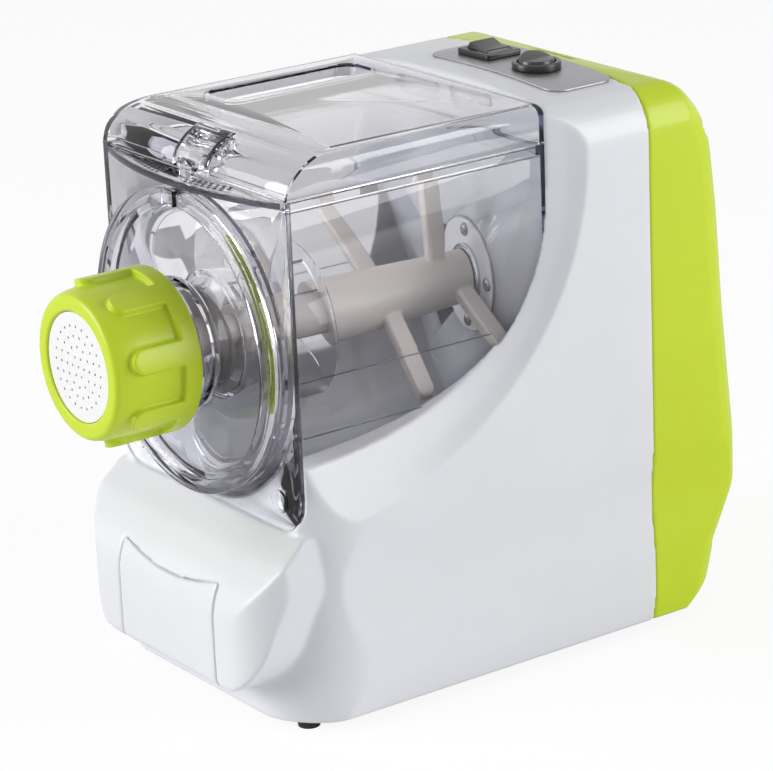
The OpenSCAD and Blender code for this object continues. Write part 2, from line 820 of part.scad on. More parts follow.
// The lid seen from the side, from its front edge up to its rear edge
lid_front_rows = [[y_front, lid_z, 0], [y_front + 0.08 * lid_front_l, lid_z + 0.38 * lid_h, 12],
    [y_front + 0.44 * lid_front_l, lid_z + 0.8 * lid_h, 20], [y_front + lid_front_l, lid_top, 50]];
module lid_outline(t = 0) {
    polygon(rounded(inset(concat(lid_front_rows,
        [[lid_back_y, lid_top, 4.4], [lid_back_y, lid_z, 0]]), t)));
}

module lid_blank(t = 0) {
    x = bowl_x - t;
    intersection() {
        union() {
            prism_yz(-x, x) lid_outline(t);
            if (t > 0) block([-x, y_front + t, lid_z - cut], [x, lid_back_y - t, lid_z + t + 0.1]);
        }
        prism_xz(y_front, y_col) polygon(rounded(mirrored(
            [[x, lid_z - 2 * cut, 0], [x, lid_top - t, lid_side_r - t]])));
    }
}

module lid() color("lavender", 0.5) difference() {
    union() {
        difference() {
            lid_blank();
            lid_blank(clear_wall);
        }
        translate([-slot_x, slot_y, lid_top - 8]) linear_extrude(8)
            round_rect(slot_w + 5, slot_l + 5, 10);
        for (x = [-hook_x, hook_x]) {
            block([x - hook_w / 2, lid_back_y - 1, hook_z - hook_h / 2],
                [x + hook_w / 2, hook_y, hook_z + hook_h / 2]);
        }
        // Ears of the latch's pivot
        intersection() {
            for (x = [-1, 1]) translate([x * (latch_w / 2 + 2.4), 0, 0]) prism_yz(-1.9, 1.9)
                translate([pivot_y, pivot_z]) {
                    circle(ear_r);
                    translate([-ear_r, 0]) square([2 * ear_r, lid_top - pivot_z]);
                }
            lid_blank();
        }
    }
    translate([-slot_x, slot_y, lid_top - 12]) linear_extrude(20) round_rect(slot_w, slot_l, 8);
    // Opening for the latch tab
    block([-latch_w / 2 - 0.5, y_front - cut, lid_z - cut],
        [latch_w / 2 + 0.5, latch_y + latch_room, lid_top + cut]);
    rod_x(pin_x_r + run_gap, -latch_w / 2 - 4.6, latch_w / 2 + 4.6, pivot_y, pivot_z);
    // Relief below the rear edge, which dips as the lid swings
    block([-bowl_x - cut, lid_back_y - clear_wall - cut, lid_z - cut],
        [bowl_x + cut, lid_back_y + cut, lid_z + 0.9]);
}

// A round bar along X
module rod_x(r, x0, x1, y, z) {
    translate([x0, y, z]) rotate([0, 90, 0]) cylinder(r = r, h = x1 - x0);
}

// The latch follows the lid's front edge, stands a little proud of it and has a finger dimple
module lid_latch() color("lavender", 0.6) difference() {
    union() {
        prism_yz(-latch_w / 2, latch_w / 2) difference() {
            latch_outline(1.4);
            latch_outline(-1.4);
        }
        rod_x(3.4, -latch_w / 2, latch_w / 2, pivot_y, pivot_z);
        block([-latch_w / 2, pivot_y - 2, pivot_z], [latch_w / 2, pivot_y + 2, pivot_z + 7]);
        block([-prong_w / 2, y_front - 3, rim_z - 6.5], [prong_w / 2, y_front - 0.8, lid_z + 6]);
    }
    rod_x(pin_x_r + 0.1, -latch_w, latch_w, pivot_y, pivot_z);
    translate([0, y_front + latch_l / 2 - 0.5, lid_z + 0.6 * lid_h]) rotate([42, 0, 0])
        translate([0, 0, dimple_r + gap]) sphere(dimple_r);
}

module latch_outline(t) {
    intersection() {
        polygon(rounded(inset(concat(lid_front_rows, [[y_col, lid_top, 0], [y_col, lid_z, 0]]), -t)));
        translate([y_front - 5, lid_z + 0.4]) square([latch_l + 5, 2 * lid_h]);
    }
}

module latch_pin() color("silver")
    rod_x(pin_x_r, -latch_w / 2 - 4.4, latch_w / 2 + 4.4, pivot_y, pivot_z);

// ---- front cover, barrel, disc and nut -----------------------------------------------------

module front_cover() color("lavender", 0.5) difference() {
    union() {
        rod(cover_r, cover_y, cover_back_y);
        rod(opening_r, y_front - cut, y_front + plate_t + gap + 2.4);
        ring_segments(opening_r - 3, lug_r, y_front + plate_t + gap, y_front + plate_t + gap + 2.4,
            lug_angles, lug_span);
        // Index tab at the top
        block([-5, cover_y - 2.5, axis_z + cover_r - 12], [5, cover_y + 6, axis_z + cover_r + 1]);
    }
    // Dished face, and the hollow behind it
    rod(cover_r - 6.5, cover_y - 5, cover_y + 2.5, 0, axis_z, cover_r - 7);
    rod(opening_r - 3, cover_y + 2.5 + cover_wall, y_front + 10);
    rod(cover_r - cover_wall, cover_y + cover_wall + 3, cover_back_y - 3);
    rod(barrel_r + gap, cover_y - 5, y_front + 10);
}

// Collar, tube, thread end and the bell that gathers the dough
module extruder_barrel() color("lavender", 0.6) difference() {
    union() {
        rod(thread_r - 1, barrel_y, nut_back_y - 4);
        for (i = [0:4]) rod(thread_r, barrel_y + 6 + 5 * i, barrel_y + 8 + 5 * i);
        rod(flange_r, nut_back_y + 1, nut_back_y + 4);
        rod(barrel_r + 3, cover_y - 0.8, cover_y + 2.5 - gap);
        rod(barrel_r, barrel_y, bell_y0 + 1);
        rod(bell_r, bell_y0, bell_y1);
    }
    rod(barrel_r - barrel_wall, barrel_y - cut, bell_y0 + 3.5);
    rod(bell_r - barrel_wall, bell_y0 + 3, bell_y1 + cut);
    // Mouths in the bell's top that let the dough in
    for (a = [50, 130]) translate([0, 0, axis_z]) rotate([0, -a, 0])
        block([bell_r - 10, bell_y0 + 8, -9], [bell_r + 4, bell_y1 - 5, 9]);
}

module shaping_disc() color("white") difference() {
    union() {
        rod(disc_r, disc_y, disc_y + disc_t);
        rod(disc_view_r - gap, y_nut + 1.2, disc_y + 1);
    }
    // Rings of holes
    for (ring = [0:4], i = [0:max(1, 6 * ring) - 1])
        rod(hole_r, y_nut - cut, disc_y + disc_t + cut,
            ring * disc_view_r / 5.4 * cos(i * 60 / max(1, ring)),
            axis_z + ring * disc_view_r / 5.4 * sin(i * 60 / max(1, ring)), $fn = 16);
}

// The nut seen from the side: a bead round its front, a waist and a square band at its rear
module nut_profile() {
    polygon(rounded([[disc_view_r, 0, 1.5], [waist_r - 2.3, 0, 3.5], [waist_r - 0.8, 6.5, 6],
        [waist_r, 13, 30], [waist_r, nut_l - nut_band_l, 0], [nut_r, nut_l - nut_band_l, 1],
        [nut_r, nut_l, 1.5], [nut_bore_r, nut_l, 0], [nut_bore_r, nut_lip + disc_t, 0],
        [disc_r + gap, nut_lip + disc_t, 0], [disc_r + gap, nut_lip, 0], [disc_view_r, nut_lip, 0]]));
}

// Finger pads along the waist, each with a round front end
module nut_pads() intersection() {
    rod(nut_r, y_nut, nut_back_y - 2);
    for (i = [0:pad_count - 1]) translate([0, 0, axis_z]) rotate([0, -pad_a0 - 360 / pad_count * i, 0]) {
        rod_x(pad_w / 2, nut_bore_r + 2, nut_r + cut, y_nut + pad_y + pad_w / 2, 0);
        block([nut_bore_r + 2, y_nut + pad_y + pad_w / 2, -pad_w / 2],
            [nut_r + cut, nut_back_y - nut_band_l / 2, pad_w / 2]);
    }
}

module lock_nut() color("yellowgreen") {
    translate([0, y_nut, axis_z]) rotate([-90, 0, 0]) rotate_extrude($fn = 96) nut_profile();
    nut_pads();
}

// ---- drawer --------------------------------------------------------------------------------

module drawer() color("whitesmoke") {
    intersection() {
        nose();
        prism_xz(y_nose - cut, y_nose + drawer_face_t) drawer_outline();
    }
    difference() {
        block([-tray_x, y_nose + drawer_face_t - cut, tray_z], [tray_x, tray_y + drawer_l, tray_z + tray_h]);
        block([-tray_x + 2, y_nose + drawer_face_t + 1, tray_z + 2],
            [tray_x - 2, tray_y + drawer_l - 2, tray_z + tray_h + cut]);
    }
}

// ---- paddle and auger ----------------------------------------------------------------------

// Arms: angle from +X towards +Z, place in front of the hub plate, share of the longest reach
arms = [[142, -61, 0.88], [-33, -61, 1], [81, -24, 0.88], [-23, -9.5, 0.93]];

// An arm along +X before it is turned: its section is a flat oval, and it tapers to a round tip
// seen along its thickness and along its width
module arm(angle, y, reach) {
    root_t = 8.5;
    tip_t = 5.6;
    translate([0, y, axis_z]) rotate([0, -angle, 0]) intersection() {
        rotate([90, 0, 90]) linear_extrude(reach) round_rect(arm_w, root_t, root_t / 2 - 0.2);
        rotate([90, 0, 0]) linear_extrude(arm_w, center = true)
            polygon(rounded([[0, -root_t / 2, 0], [reach, -tip_t / 2, 2.4], [reach, tip_t / 2, 2.4],
                [0, root_t / 2, 0]]));
        linear_extrude(root_t, center = true)
            polygon(rounded([[0, -arm_w / 2, 0], [reach, 1.5 - arm_w / 2, 4.2],
                [reach, arm_w / 2 - 1.5, 4.2], [0, arm_w / 2, 0]]));
    }
}

module mixing_paddle() color("tan") difference() {
    union() {
        rod(paddle_r, paddle_y0, hub_face_y - 2.4 - gap, 0, axis_z, paddle_rear_r);
        for (a = arms) arm(a[0], hub_face_y + a[1], a[2] * arm_reach);
    }
    // Hexagon socket for the drive shaft and round socket for the auger's shank
    rod(hex_r + 0.15, shaft_y0 - 1, y_col, $fn = 6);
    rod(7 + 0.1, paddle_y0 - cut, paddle_y0 + 18);
}

module auger() color("white") {
    rod(auger_core_r, barrel_y + 3, paddle_y0 - 0.1);
    rod(7, paddle_y0 - 1, paddle_y0 + 16);
    // The flight: a slice of a disc drawn along the core while it turns
    flight_l = bell_y0 + 6 - barrel_y - 8;
    translate([0, barrel_y + 8, axis_z]) rotate([-90, 0, 0])
        linear_extrude(flight_l, twist = -360 * flight_l / auger_pitch,
            slices = ceil(flight_l / auger_pitch * 24))
            polygon([[0, 0], for (t = [-24:8:24]) flight_r * [cos(t), sin(t)]]);
}

// ---- gear train ----------------------------------------------------------------------------

// Angle in degrees between a tooth's flank and its centre line grows with this function
function involute(a) = tan(a) * 180 / PI - a;

// Outline of a spur gear with m as module, n teeth and tip as addendum in modules
function gear_outline(m, n, tip) =
    let (rp = m * n / 2, rb = rp * cos(20), ra = rp + m * tip, rf = rp - 1.25 * m,
        r0 = max(rb, rf) + 0.02, slack = 0.07 / rp * 180 / PI,
        half = function (r) 90 / n - slack + involute(20) - involute(acos(rb / r)),
        side = [for (i = [0:3]) let (r = r0 + (ra - r0) * i / 3) [r, half(r)]])
    [for (k = [0:n - 1]) let (c = 360 / n * k) each concat(
        [rf * [cos(c - half(r0)), sin(c - half(r0))]],
        [for (q = side) q[0] * [cos(c - q[1]), sin(c - q[1])]],
        [for (i = [3:-1:0]) side[i][0] * [cos(c + side[i][1]), sin(c + side[i][1])]],
        [rf * [cos(c + half(r0)), sin(c + half(r0))]])];

// A pinion with a tooth on top, and a wheel with a gap below, so that each pair is in mesh
module pinion(m, n, y0, y1, z) {
    prism_xz(y0, y1) translate([0, z]) rotate(90) polygon(gear_outline(m, n, 1));
}
module wheel(m, n, y0, y1, z) {
    prism_xz(y0, y1) translate([0, z]) rotate(270 + 180 / n) polygon(gear_outline(m, n, 0.75));
}

// Round windows that lighten a wheel
module wheel_windows(m, n, y0, y1, z, hub) {
    mid = (m * n / 2 - 2.5 * m + hub) / 2;
    for (a = [0:60:300])
        rod((m * n / 2 - 3 * m - hub) / 2 - 1.5, y0 - cut, y1 + cut, mid * cos(a), z + mid * sin(a));
}

module output_gear() color("ivory") difference() {
    union() {
        wheel(mod_c, output_teeth, gear_c_y, gear_c_y + gear_c_w, axis_z);
        rod(12, box_y1 + gap, box_y2 - gap);
    }
    wheel_windows(mod_c, output_teeth, gear_c_y, gear_c_y + gear_c_w, axis_z, 13);
    rod(shaft_r + 0.02, box_y1 - cut, box_y2 + cut);
}

module lower_idler_gear() color("ivory") difference() {
    union() {
        wheel(mod_a, wheel_a_teeth, gear_a_y, gear_a_y + gear_a_w - 1, wheel_a_z);
        pinion(mod_b, pinion_a_teeth, gear_a_y + gear_a_w - 2, gear_b_y + gear_b_w, wheel_a_z);
        rod(pin_r + 2.4, box_y1 + gap, box_y2 - gap, 0, wheel_a_z);
    }
    wheel_windows(mod_a, wheel_a_teeth, gear_a_y, gear_a_y + gear_a_w - 1.5, wheel_a_z, 11);
    rod(pin_r + run_gap, box_y1 - cut, box_y2 + cut, 0, wheel_a_z);
}

module upper_idler_gear() color("ivory") difference() {
    union() {
        wheel(mod_b, wheel_b_teeth, gear_b_y, gear_b_y + gear_b_w - 1, wheel_b_z);
        pinion(mod_c, pinion_b_teeth, gear_b_y + gear_b_w - 2, gear_c_y + gear_c_w, wheel_b_z);
        rod(pin_r + 3, box_y1 + gap, box_y2 - gap, 0, wheel_b_z);
    }
    wheel_windows(mod_b, wheel_b_teeth, gear_b_y, gear_b_y + gear_b_w - 1.5, wheel_b_z, 14);
    rod(pin_r + run_gap, box_y1 - cut, box_y2 + cut, 0, wheel_b_z);
}

module idler_pins() color("silver")
    for (z = [wheel_a_z, wheel_b_z]) rod(pin_r, box_y0, box_y3, 0, z);

module drive_shaft() color("silver") difference() {
    union() {
        rod(shaft_r, hub_face_y - 8, box_y3 + 4);
        rod(hex_r, shaft_y0, hub_face_y - 4, $fn = 6);
    }
    difference() {
        rod(shaft_r + 2, clip_y, clip_y + 1.3);
        rod(shaft_r - 1, clip_y - cut, clip_y + 2);
    }
}

module shaft_clip() color("silver") difference() {
    rod(shaft_r + 3, clip_y + 0.1, clip_y + 1.2);
    rod(shaft_r - 0.95, clip_y - cut, clip_y + 2);
    block([-2.5, clip_y - cut, axis_z - 12], [2.5, clip_y + 2, axis_z - 2]);
}

module bearing(y0, y1) color("silver") difference() {
    rod(bearing_r, y0, y1);
    rod(shaft_r + run_gap, y0 - cut, y1 + cut);
    // Dished faces between the two rings
    for (y = [y0 - cut, y1 - 0.8]) difference() {
        rod(bearing_r - 2.2, y, y + cut + 0.8);
        rod(shaft_r + 2.4, y - cut, y + 2 * cut);
    }
}
module front_bearing() bearing(y_col + hub_t + 0.2, box_y1);
module rear_bearing() bearing(box_y2, box_y3);

module box_outline() {
    polygon(rounded(mirrored([[box_x - 12, motor_z - 38, 14], [box_x, motor_z, 30],
        [box_x, axis_z + 20, 24], [34, axis_z + 56, 18]])));
}

module pillar_places() {
    for (x = [-1, 1], z = [motor_z + 20, axis_z + 30]) translate([x * (box_x - 5.5), 0, z]) children();
}

module gearbox_front() color("gainsboro") difference() {
    prism_xz(box_y0, box_y1) box_outline();
    rod(bearing_r + 0.02, box_y0 - cut, box_y1 + cut);
    for (z = [wheel_a_z, wheel_b_z]) rod(pin_r, box_y0 - cut, box_y1 + cut, 0, z);
    rod(10, box_y0 - cut, box_y1 + cut, 0, motor_z);
    for (x = [-1, 1]) rod(2, box_y0 - cut, box_y1 + cut, x * motor_screw_x, motor_z);
    pillar_places() rod(1.6, box_y0 - cut, box_y1 + cut, 0, 0);
}

module gearbox_rear() color("gainsboro") difference() {
    prism_xz(box_y2, box_y3) intersection() {
        box_outline();
        translate([-box_x - 1, motor_z + 8]) square([2 * box_x + 2, 400]);
    }
    rod(bearing_r + 0.02, box_y2 - cut, box_y3 + cut);
    for (z = [wheel_a_z, wheel_b_z]) rod(pin_r, box_y2 - cut, box_y3 + cut, 0, z);
    pillar_places() rod(1.6, box_y2 - cut, box_y3 + cut, 0, 0);
}

module gearbox_pillars() color("silver") pillar_places() difference() {
    rod(4, box_y1, box_y2, 0, 0);
    rod(1.6, box_y1 - cut, box_y2 + cut, 0, 0);
}

// Long screws through the rear plate, the pillars and the front plate into the housing's wall
module gearbox_screws() color("silver") pillar_places() {
    rod(1.5, box_y0 + 0.2, box_y3 + 0.1, 0, 0);
    rod(3, box_y3, box_y3 + 2, 0, 0);
}

// ---- motor ---------------------------------------------------------------------------------

module motor_can() color("silver") difference() {
    rod(motor_r, motor_y0 + 6, motor_y1, 0, motor_z);
    rod(motor_r - 2, motor_y0, motor_y1 - 3, 0, motor_z);
    rod(motor_shaft_r + run_gap, motor_y1 - 4, motor_y1 + cut, 0, motor_z);
    for (x = [-1, 1]) rod(1.4, motor_y1 - 4, motor_y1 + cut, x * motor_screw_x, motor_z);
}

module motor_end_cap() color("dimgray") difference() {
    union() {
        rod(motor_r, motor_y0, motor_y0 + 6, 0, motor_z);
        rod(motor_r - 2.1, motor_y0 + 5, motor_y0 + 9, 0, motor_z);
    }
    rod(motor_r - 5, motor_y0 + 3, motor_y0 + 10, 0, motor_z);
    rod(motor_shaft_r + run_gap, motor_y0 - cut, motor_y0 + 10, 0, motor_z);
    for (a = [0:45:315])
        rod(4.5, motor_y0 - cut, motor_y0 + 10, 19 * cos(a), motor_z + 19 * sin(a));
}

module motor_rotor() color("silver") {
    rod(motor_shaft_r, motor_y0 - 12, gear_a_y + gear_a_w - 1.5, 0, motor_z);
    // Slotted core
    difference() {
        rod(motor_r - 12, motor_y0 + 20, motor_y1 - 12, 0, motor_z);
        for (a = [0:30:330]) translate([0, 0, motor_z]) rotate([0, a, 0])
            block([motor_r - 17, motor_y0 + 19, -1.2], [motor_r - 10, motor_y1 - 11, 1.2]);
    }
    rod(9, motor_y0 + 12, motor_y0 + 18, 0, motor_z);
}

module motor_pinion() color("goldenrod") difference() {
    pinion(mod_a, motor_teeth, gear_a_y, gear_a_y + gear_a_w - 1.5, motor_z);
    rod(motor_shaft_r, gear_a_y - cut, gear_a_y + gear_a_w, 0, motor_z);
}

module cooling_fan() color("black") difference() {
    union() {
        rod(7, motor_y0 - 12, motor_y0 - 2, 0, motor_z);
        rod(motor_r - 6, motor_y0 - 3.5, motor_y0 - 2, 0, motor_z);
        for (a = [0:40:320]) translate([0, 0, motor_z]) rotate([0, a, 0])
            block([5, motor_y0 - 11, -0.8], [motor_r - 6.2, motor_y0 - 3, 0.8]);
    }
    rod(motor_shaft_r, motor_y0 - 14, motor_y0, 0, motor_z);
}

module motor_screws() color("silver") for (x = [-1, 1]) {
    rod(1.3, motor_y1 - 3, box_y1 + 0.1, x * motor_screw_x, motor_z);
    rod(2.6, box_y1, box_y1 + 1.6, x * motor_screw_x, motor_z);
}

// Saddle on the base plate below the can
module motor_cradle() color("dimgray") difference() {
    union() {
        block([-26, motor_y0 + 12, base_z + plate_lip], [26, motor_y0 + 20, motor_z - 12]);
        block([-26, motor_y0 + 34, base_z + plate_lip], [26, motor_y0 + 42, motor_z - 12]);
        block([-32, motor_y0 + 12, base_z + plate_lip], [-22, motor_y0 + 42, base_z + plate_lip + 3]);
        block([22, motor_y0 + 12, base_z + plate_lip], [32, motor_y0 + 42, base_z + plate_lip + 3]);
    }
    rod(motor_r + gap, motor_y0, motor_y1, 0, motor_z);
}

// ---- electrics -----------------------------------------------------------------------------

module control_board() color("seagreen") {
    block([-40, board_y, wheel_a_z - 6], [40, board_y + 1.6, wheel_a_z + 60]);
    for (x = [-34, 34], z = [wheel_a_z, wheel_a_z + 54]) rod(3, box_y3, board_y + 0.1, x, z);
    block([-32, board_y + 1.5, wheel_a_z + 4], [-8, board_y + 20, wheel_a_z + 26]);
    block([2, board_y + 1.5, wheel_a_z + 4], [20, board_y + 16, wheel_a_z + 16]);
    rod(7, board_y + 1.5, board_y + 22, 28, wheel_a_z + 32);
    rod(5, board_y + 1.5, board_y + 16, 10, wheel_a_z + 40);
    block([-34, board_y + 1.5, wheel_a_z + 40], [-10, board_y + 12, wheel_a_z + 50]);
}

// Switch behind a hook recess, which the closed lid holds down
module safety_switch() color("black") {
    block([hook_x - 10, wall_y + 3.2, hook_z - 16], [hook_x + 10, wall_y + 10, hook_z - 6]);
    block([hook_x - 8, wall_y + 0.1, hook_z - 15], [hook_x + 8, wall_y + 3.3, hook_z - 12]);
}

housing();
rear_cover();
base_plate();
rubber_feet();
base_screws();
cover_screws();
control_plate();
main_switch_bezel();
mode_switch_bezel();
main_rocker();
mode_rocker();
bowl();
hub_plate();
hub_screws();
shaft_seal();
lid();
lid_latch();
latch_pin();
front_cover();
extruder_barrel();
shaping_disc();
lock_nut();
drawer();
mixing_paddle();
auger();
drive_shaft();
output_gear();
shaft_clip();
front_bearing();
rear_bearing();
lower_idler_gear();
upper_idler_gear();
idler_pins();
gearbox_front();
gearbox_rear();
gearbox_pillars();
gearbox_screws();
motor_can();
motor_end_cap();
motor_rotor();
motor_pinion();
cooling_fan();
motor_screws();
motor_cradle();
control_board();
safety_switch();
cord_gland();
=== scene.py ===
"""Looks of an electric pasta maker, built round its packed construction.

Every length is in metres in the frame of the construction: +Z up, the lock nut points to -Y.
"""

import math

import bpy
from mathutils import Matrix, Vector


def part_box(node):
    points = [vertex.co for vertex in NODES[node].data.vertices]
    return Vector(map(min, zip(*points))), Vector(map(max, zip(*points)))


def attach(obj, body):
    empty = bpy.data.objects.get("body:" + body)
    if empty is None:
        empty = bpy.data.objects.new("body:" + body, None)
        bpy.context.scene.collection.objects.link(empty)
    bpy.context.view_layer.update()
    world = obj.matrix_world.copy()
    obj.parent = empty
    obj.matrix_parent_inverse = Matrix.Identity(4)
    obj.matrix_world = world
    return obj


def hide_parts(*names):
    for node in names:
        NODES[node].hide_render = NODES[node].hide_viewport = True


bl_info = {
    "name": "Pasta Maker Looks",
    "version": (1, 0, 0),
    "blender": (4, 5, 0),
    "location": "View3D > Sidebar > Pasta Maker",
    "description": "Finishes, fine pieces and studio stage round the packed pasta maker",
    "category": "Object",
}

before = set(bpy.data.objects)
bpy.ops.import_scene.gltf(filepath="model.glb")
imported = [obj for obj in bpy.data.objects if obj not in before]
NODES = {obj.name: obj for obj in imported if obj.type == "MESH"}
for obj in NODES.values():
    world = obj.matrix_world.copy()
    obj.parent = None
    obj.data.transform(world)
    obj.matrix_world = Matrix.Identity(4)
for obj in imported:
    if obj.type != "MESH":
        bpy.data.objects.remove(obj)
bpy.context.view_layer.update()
MM = 0.001
# Corners of a node's triangles that lie this near are one corner
MERGE_DISTANCE = 0.002 * MM

# The camera that was worked out from the photograph, which is 773 pixels wide
VIEW_AZIMUTH = math.radians(54.7)
VIEW_ELEVATION = math.radians(18.7)
VIEW_ROLL = math.radians(-2.4)
VIEW_TARGET = Vector((0, 10.5, 129.9)) * MM
VIEW_DISTANCE = 1795.8 * MM
VIEW_LENS = 163.0
VIEW_PIXELS = 773
VIEW_SHIFT = (-4.5 / VIEW_PIXELS, 9.0 / VIEW_PIXELS)
SENSOR_WIDTH = 36.0


# ---- small helpers ---------------------------------------------------------------------------


def linear(hex_colour):
    """An sRGB hex colour as linear RGBA."""
    parts = [int(hex_colour[i : i + 2], 16) / 255 for i in (1, 3, 5)]
    return [p / 12.92 if p <= 0.04045 else ((p + 0.055) / 1.055) ** 2.4 for p in parts] + [1.0]


def add_node(material, kind, links=(), **settings):
    """One shader node with its settings, and links given as (own input, from node, its output)."""
    tree = material.node_tree
    node = tree.nodes.new(kind)
    for name, value in settings.items():
        key = name.replace("_", " ")
        if key in node.inputs:
            node.inputs[key].default_value = value
        else:
            setattr(node, name, value)
    for own, source, output in links:
        tree.links.new(source.outputs[output], node.inputs[own])
    return node


def deselect():
    """Start an operation with nothing selected."""
    for o in bpy.context.selected_objects:
        o.select_set(False)


def make_active(piece):
    """The piece alone selected, for the operators that work on the active one."""
    deselect()
    piece.select_set(True)
    bpy.context.view_layer.objects.active = piece


def apply_modifier(piece, kind, **settings):
    """Change the mesh of a piece by a modifier."""
    make_active(piece)
    modifier = piece.modifiers.new(kind.title(), kind)
    for name, value in settings.items():
        setattr(modifier, name, value)
    bpy.ops.object.modifier_apply(modifier=modifier.name)


def node_copy(name, node):
    """A copy of a node's mesh with its loose triangles merged, which a piece starts from."""
    piece = bpy.data.objects.new(name, NODES[node].data.copy())
    bpy.context.collection.objects.link(piece)
    make_active(piece)
    bpy.ops.object.mode_set(mode="EDIT")
    bpy.ops.mesh.select_all(action="SELECT")
    bpy.ops.mesh.remove_doubles(threshold=MERGE_DISTANCE)
    bpy.ops.object.mode_set(mode="OBJECT")
    return piece


def soften(piece, voxel, rounds, faces):
    """Melt the edges of a closed shell: a voxel remesh, smoothing, and fewer faces where flat."""
    apply_modifier(piece, "REMESH", mode="VOXEL", voxel_size=voxel)
    apply_modifier(piece, "SMOOTH", factor=0.5, iterations=rounds)
    share = faces / (2 * len(piece.data.polygons))
    if share < 1:
        apply_modifier(piece, "DECIMATE", ratio=share)
    make_active(piece)
    bpy.ops.object.shade_smooth()
    return piece


def ease_edges(piece, width, segments=2, angle=40):
    """Round the sharp edges of a merged copy by a true bevel, after its flat faces are whole."""
    apply_modifier(piece, "DECIMATE", decimate_type="DISSOLVE", angle_limit=math.radians(0.8))
    apply_modifier(
        piece, "BEVEL", width=width, segments=segments, limit_method="ANGLE",
        angle_limit=math.radians(angle), use_clamp_overlap=True, harden_normals=False,
    )
    make_active(piece)
    bpy.ops.object.shade_smooth_by_angle(angle=math.radians(30))
    return piece


def joined(name, pieces):
    """Several meshes as one piece."""
    deselect()
    for piece in pieces:
        piece.select_set(True)
    bpy.context.view_layer.objects.active = pieces[0]
    bpy.ops.object.join()
    pieces[0].name = name
    return pieces[0]


def copies(piece, places):
    """The piece at its own place and at each further place, every copy with its own mesh."""
    made = [piece]
    for place in places:
        twin = piece.copy()
        twin.data = piece.data.copy()
        bpy.context.collection.objects.link(twin)
        twin.data.transform(Matrix.Translation(place))
        made.append(twin)
    return made


def dress(piece, material, body, slot, *nodes):
    """Material and body of a finished piece, and the nodes that it stands for; the slot is not
    used.
    """
    piece.data.materials.clear()
    piece.data.materials.append(MATERIALS[material])
    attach(piece, body)
    if nodes:
        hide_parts(*nodes)
    return piece


# ---- settings --------------------------------------------------------------------------------


def colour(name, default, description):
    """A colour setting, held as an sRGB hex value."""
    return bpy.props.StringProperty(name=name, default=default, description=description)


class PastaFinishSettings(bpy.types.PropertyGroup):
    """Colours of the finishes, as sRGB hex values"""

    white: colour("White shell", "#E9EAEE", "Gloss ABS of the housing")
    green: colour("Green shell", "#CCE12E", "Gloss ABS of the rear cover and the lock nut")
    clear: colour("Clear plastic", "#FBFBFC", "Tint of the bowl, lid and front cover")
    beige: colour("Beige plastic", "#C0B9B3", "Filled nylon of the paddle and the auger")
    steel: colour("Steel", "#C4C5CA", "Screws, shaft and seal")
    plate: colour("Control plate", "#979598", "Satin plate below the switches")


class PastaSizeSettings(bpy.types.PropertyGroup):
    """Sizes of the fine pieces"""

    edge: bpy.props.FloatProperty(
        name="Edge radius", default=0.8 * MM, min=0.1 * MM, max=3 * MM, unit="LENGTH",
        description="Radius that the moulded edges of the shells catch light on",
    )
    floor: bpy.props.FloatProperty(
        name="Floor", default=6.0, min=2.0, max=20.0, unit="LENGTH",
        description="Width of the studio floor",
    )


# ---- materials -------------------------------------------------------------------------------


# Widths of slow and fast variation in a moulding, and of the flow marks in clear plastic
DRIFT_SCALE = 60 * MM
FLOW_SCALE = 45 * MM
# Shares of the noise's range between which a moulding goes from its darker to its own colour
DRIFT_FROM, DRIFT_TO = 0.35, 0.65
# After this many bounces a ray inside clear plastic leaves by the straight way
DEEPEST_BOUNCE = 7.0


def new_material(name):
    """An empty node material."""
    material = bpy.data.materials.new(name)
    material.use_nodes = True
    material.node_tree.nodes.clear()
    return material


def finish_material(material, shader):
    """The shader as the material's surface."""
    output = add_node(material, "ShaderNodeOutputMaterial")
    material.node_tree.links.new(shader.outputs[0], output.inputs["Surface"])
    return material


def moulded(name, hex_colour, roughness, grain_mm, depth_mm, edge, ior=1.53, variation=0.03):
    """A moulded plastic: an even colour with a faint drift, a fine skin and light on its edges."""
    material = new_material(name)
    place = add_node(material, "ShaderNodeTexCoord")
    cloud = add_node(
        material, "ShaderNodeTexNoise", [("Vector", place, "Object")],
        Scale=1 / DRIFT_SCALE, Detail=2.0, Roughness=0.5,
    )
    base = linear(hex_colour)
    darker = [c * (1 - variation) for c in base[:3]] + [1.0]
    tint = add_node(material, "ShaderNodeValToRGB", [("Fac", cloud, "Fac")])
    tint.color_ramp.elements[0].position = DRIFT_FROM
    tint.color_ramp.elements[0].color = darker
    tint.color_ramp.elements[1].position = DRIFT_TO
    tint.color_ramp.elements[1].color = base
    skin = add_node(
        material, "ShaderNodeTexNoise", [("Vector", place, "Object")],
        Scale=1 / (grain_mm * MM), Detail=3.0, Roughness=0.6,
    )
    gloss = add_node(material, "ShaderNodeMapRange", [("Value", skin, "Fac")])
    gloss.inputs["To Min"].default_value = roughness - 0.04
    gloss.inputs["To Max"].default_value = roughness + 0.05
    bump = add_node(
        material, "ShaderNodeBump", [("Height", skin, "Fac")],
        Strength=0.25, Distance=depth_mm * MM,
    )
    if edge > 0:
        rounded = add_node(material, "ShaderNodeBevel", samples=4, Radius=edge)
        material.node_tree.links.new(rounded.outputs["Normal"], bump.inputs["Normal"])
    shader = add_node(
        material, "ShaderNodeBsdfPrincipled",
        [
            ("Base Color", tint, "Color"), ("Roughness", gloss, "Result"),
            ("Normal", bump, "Normal"),
        ],
        IOR=ior,
    )
    return finish_material(material, shader)


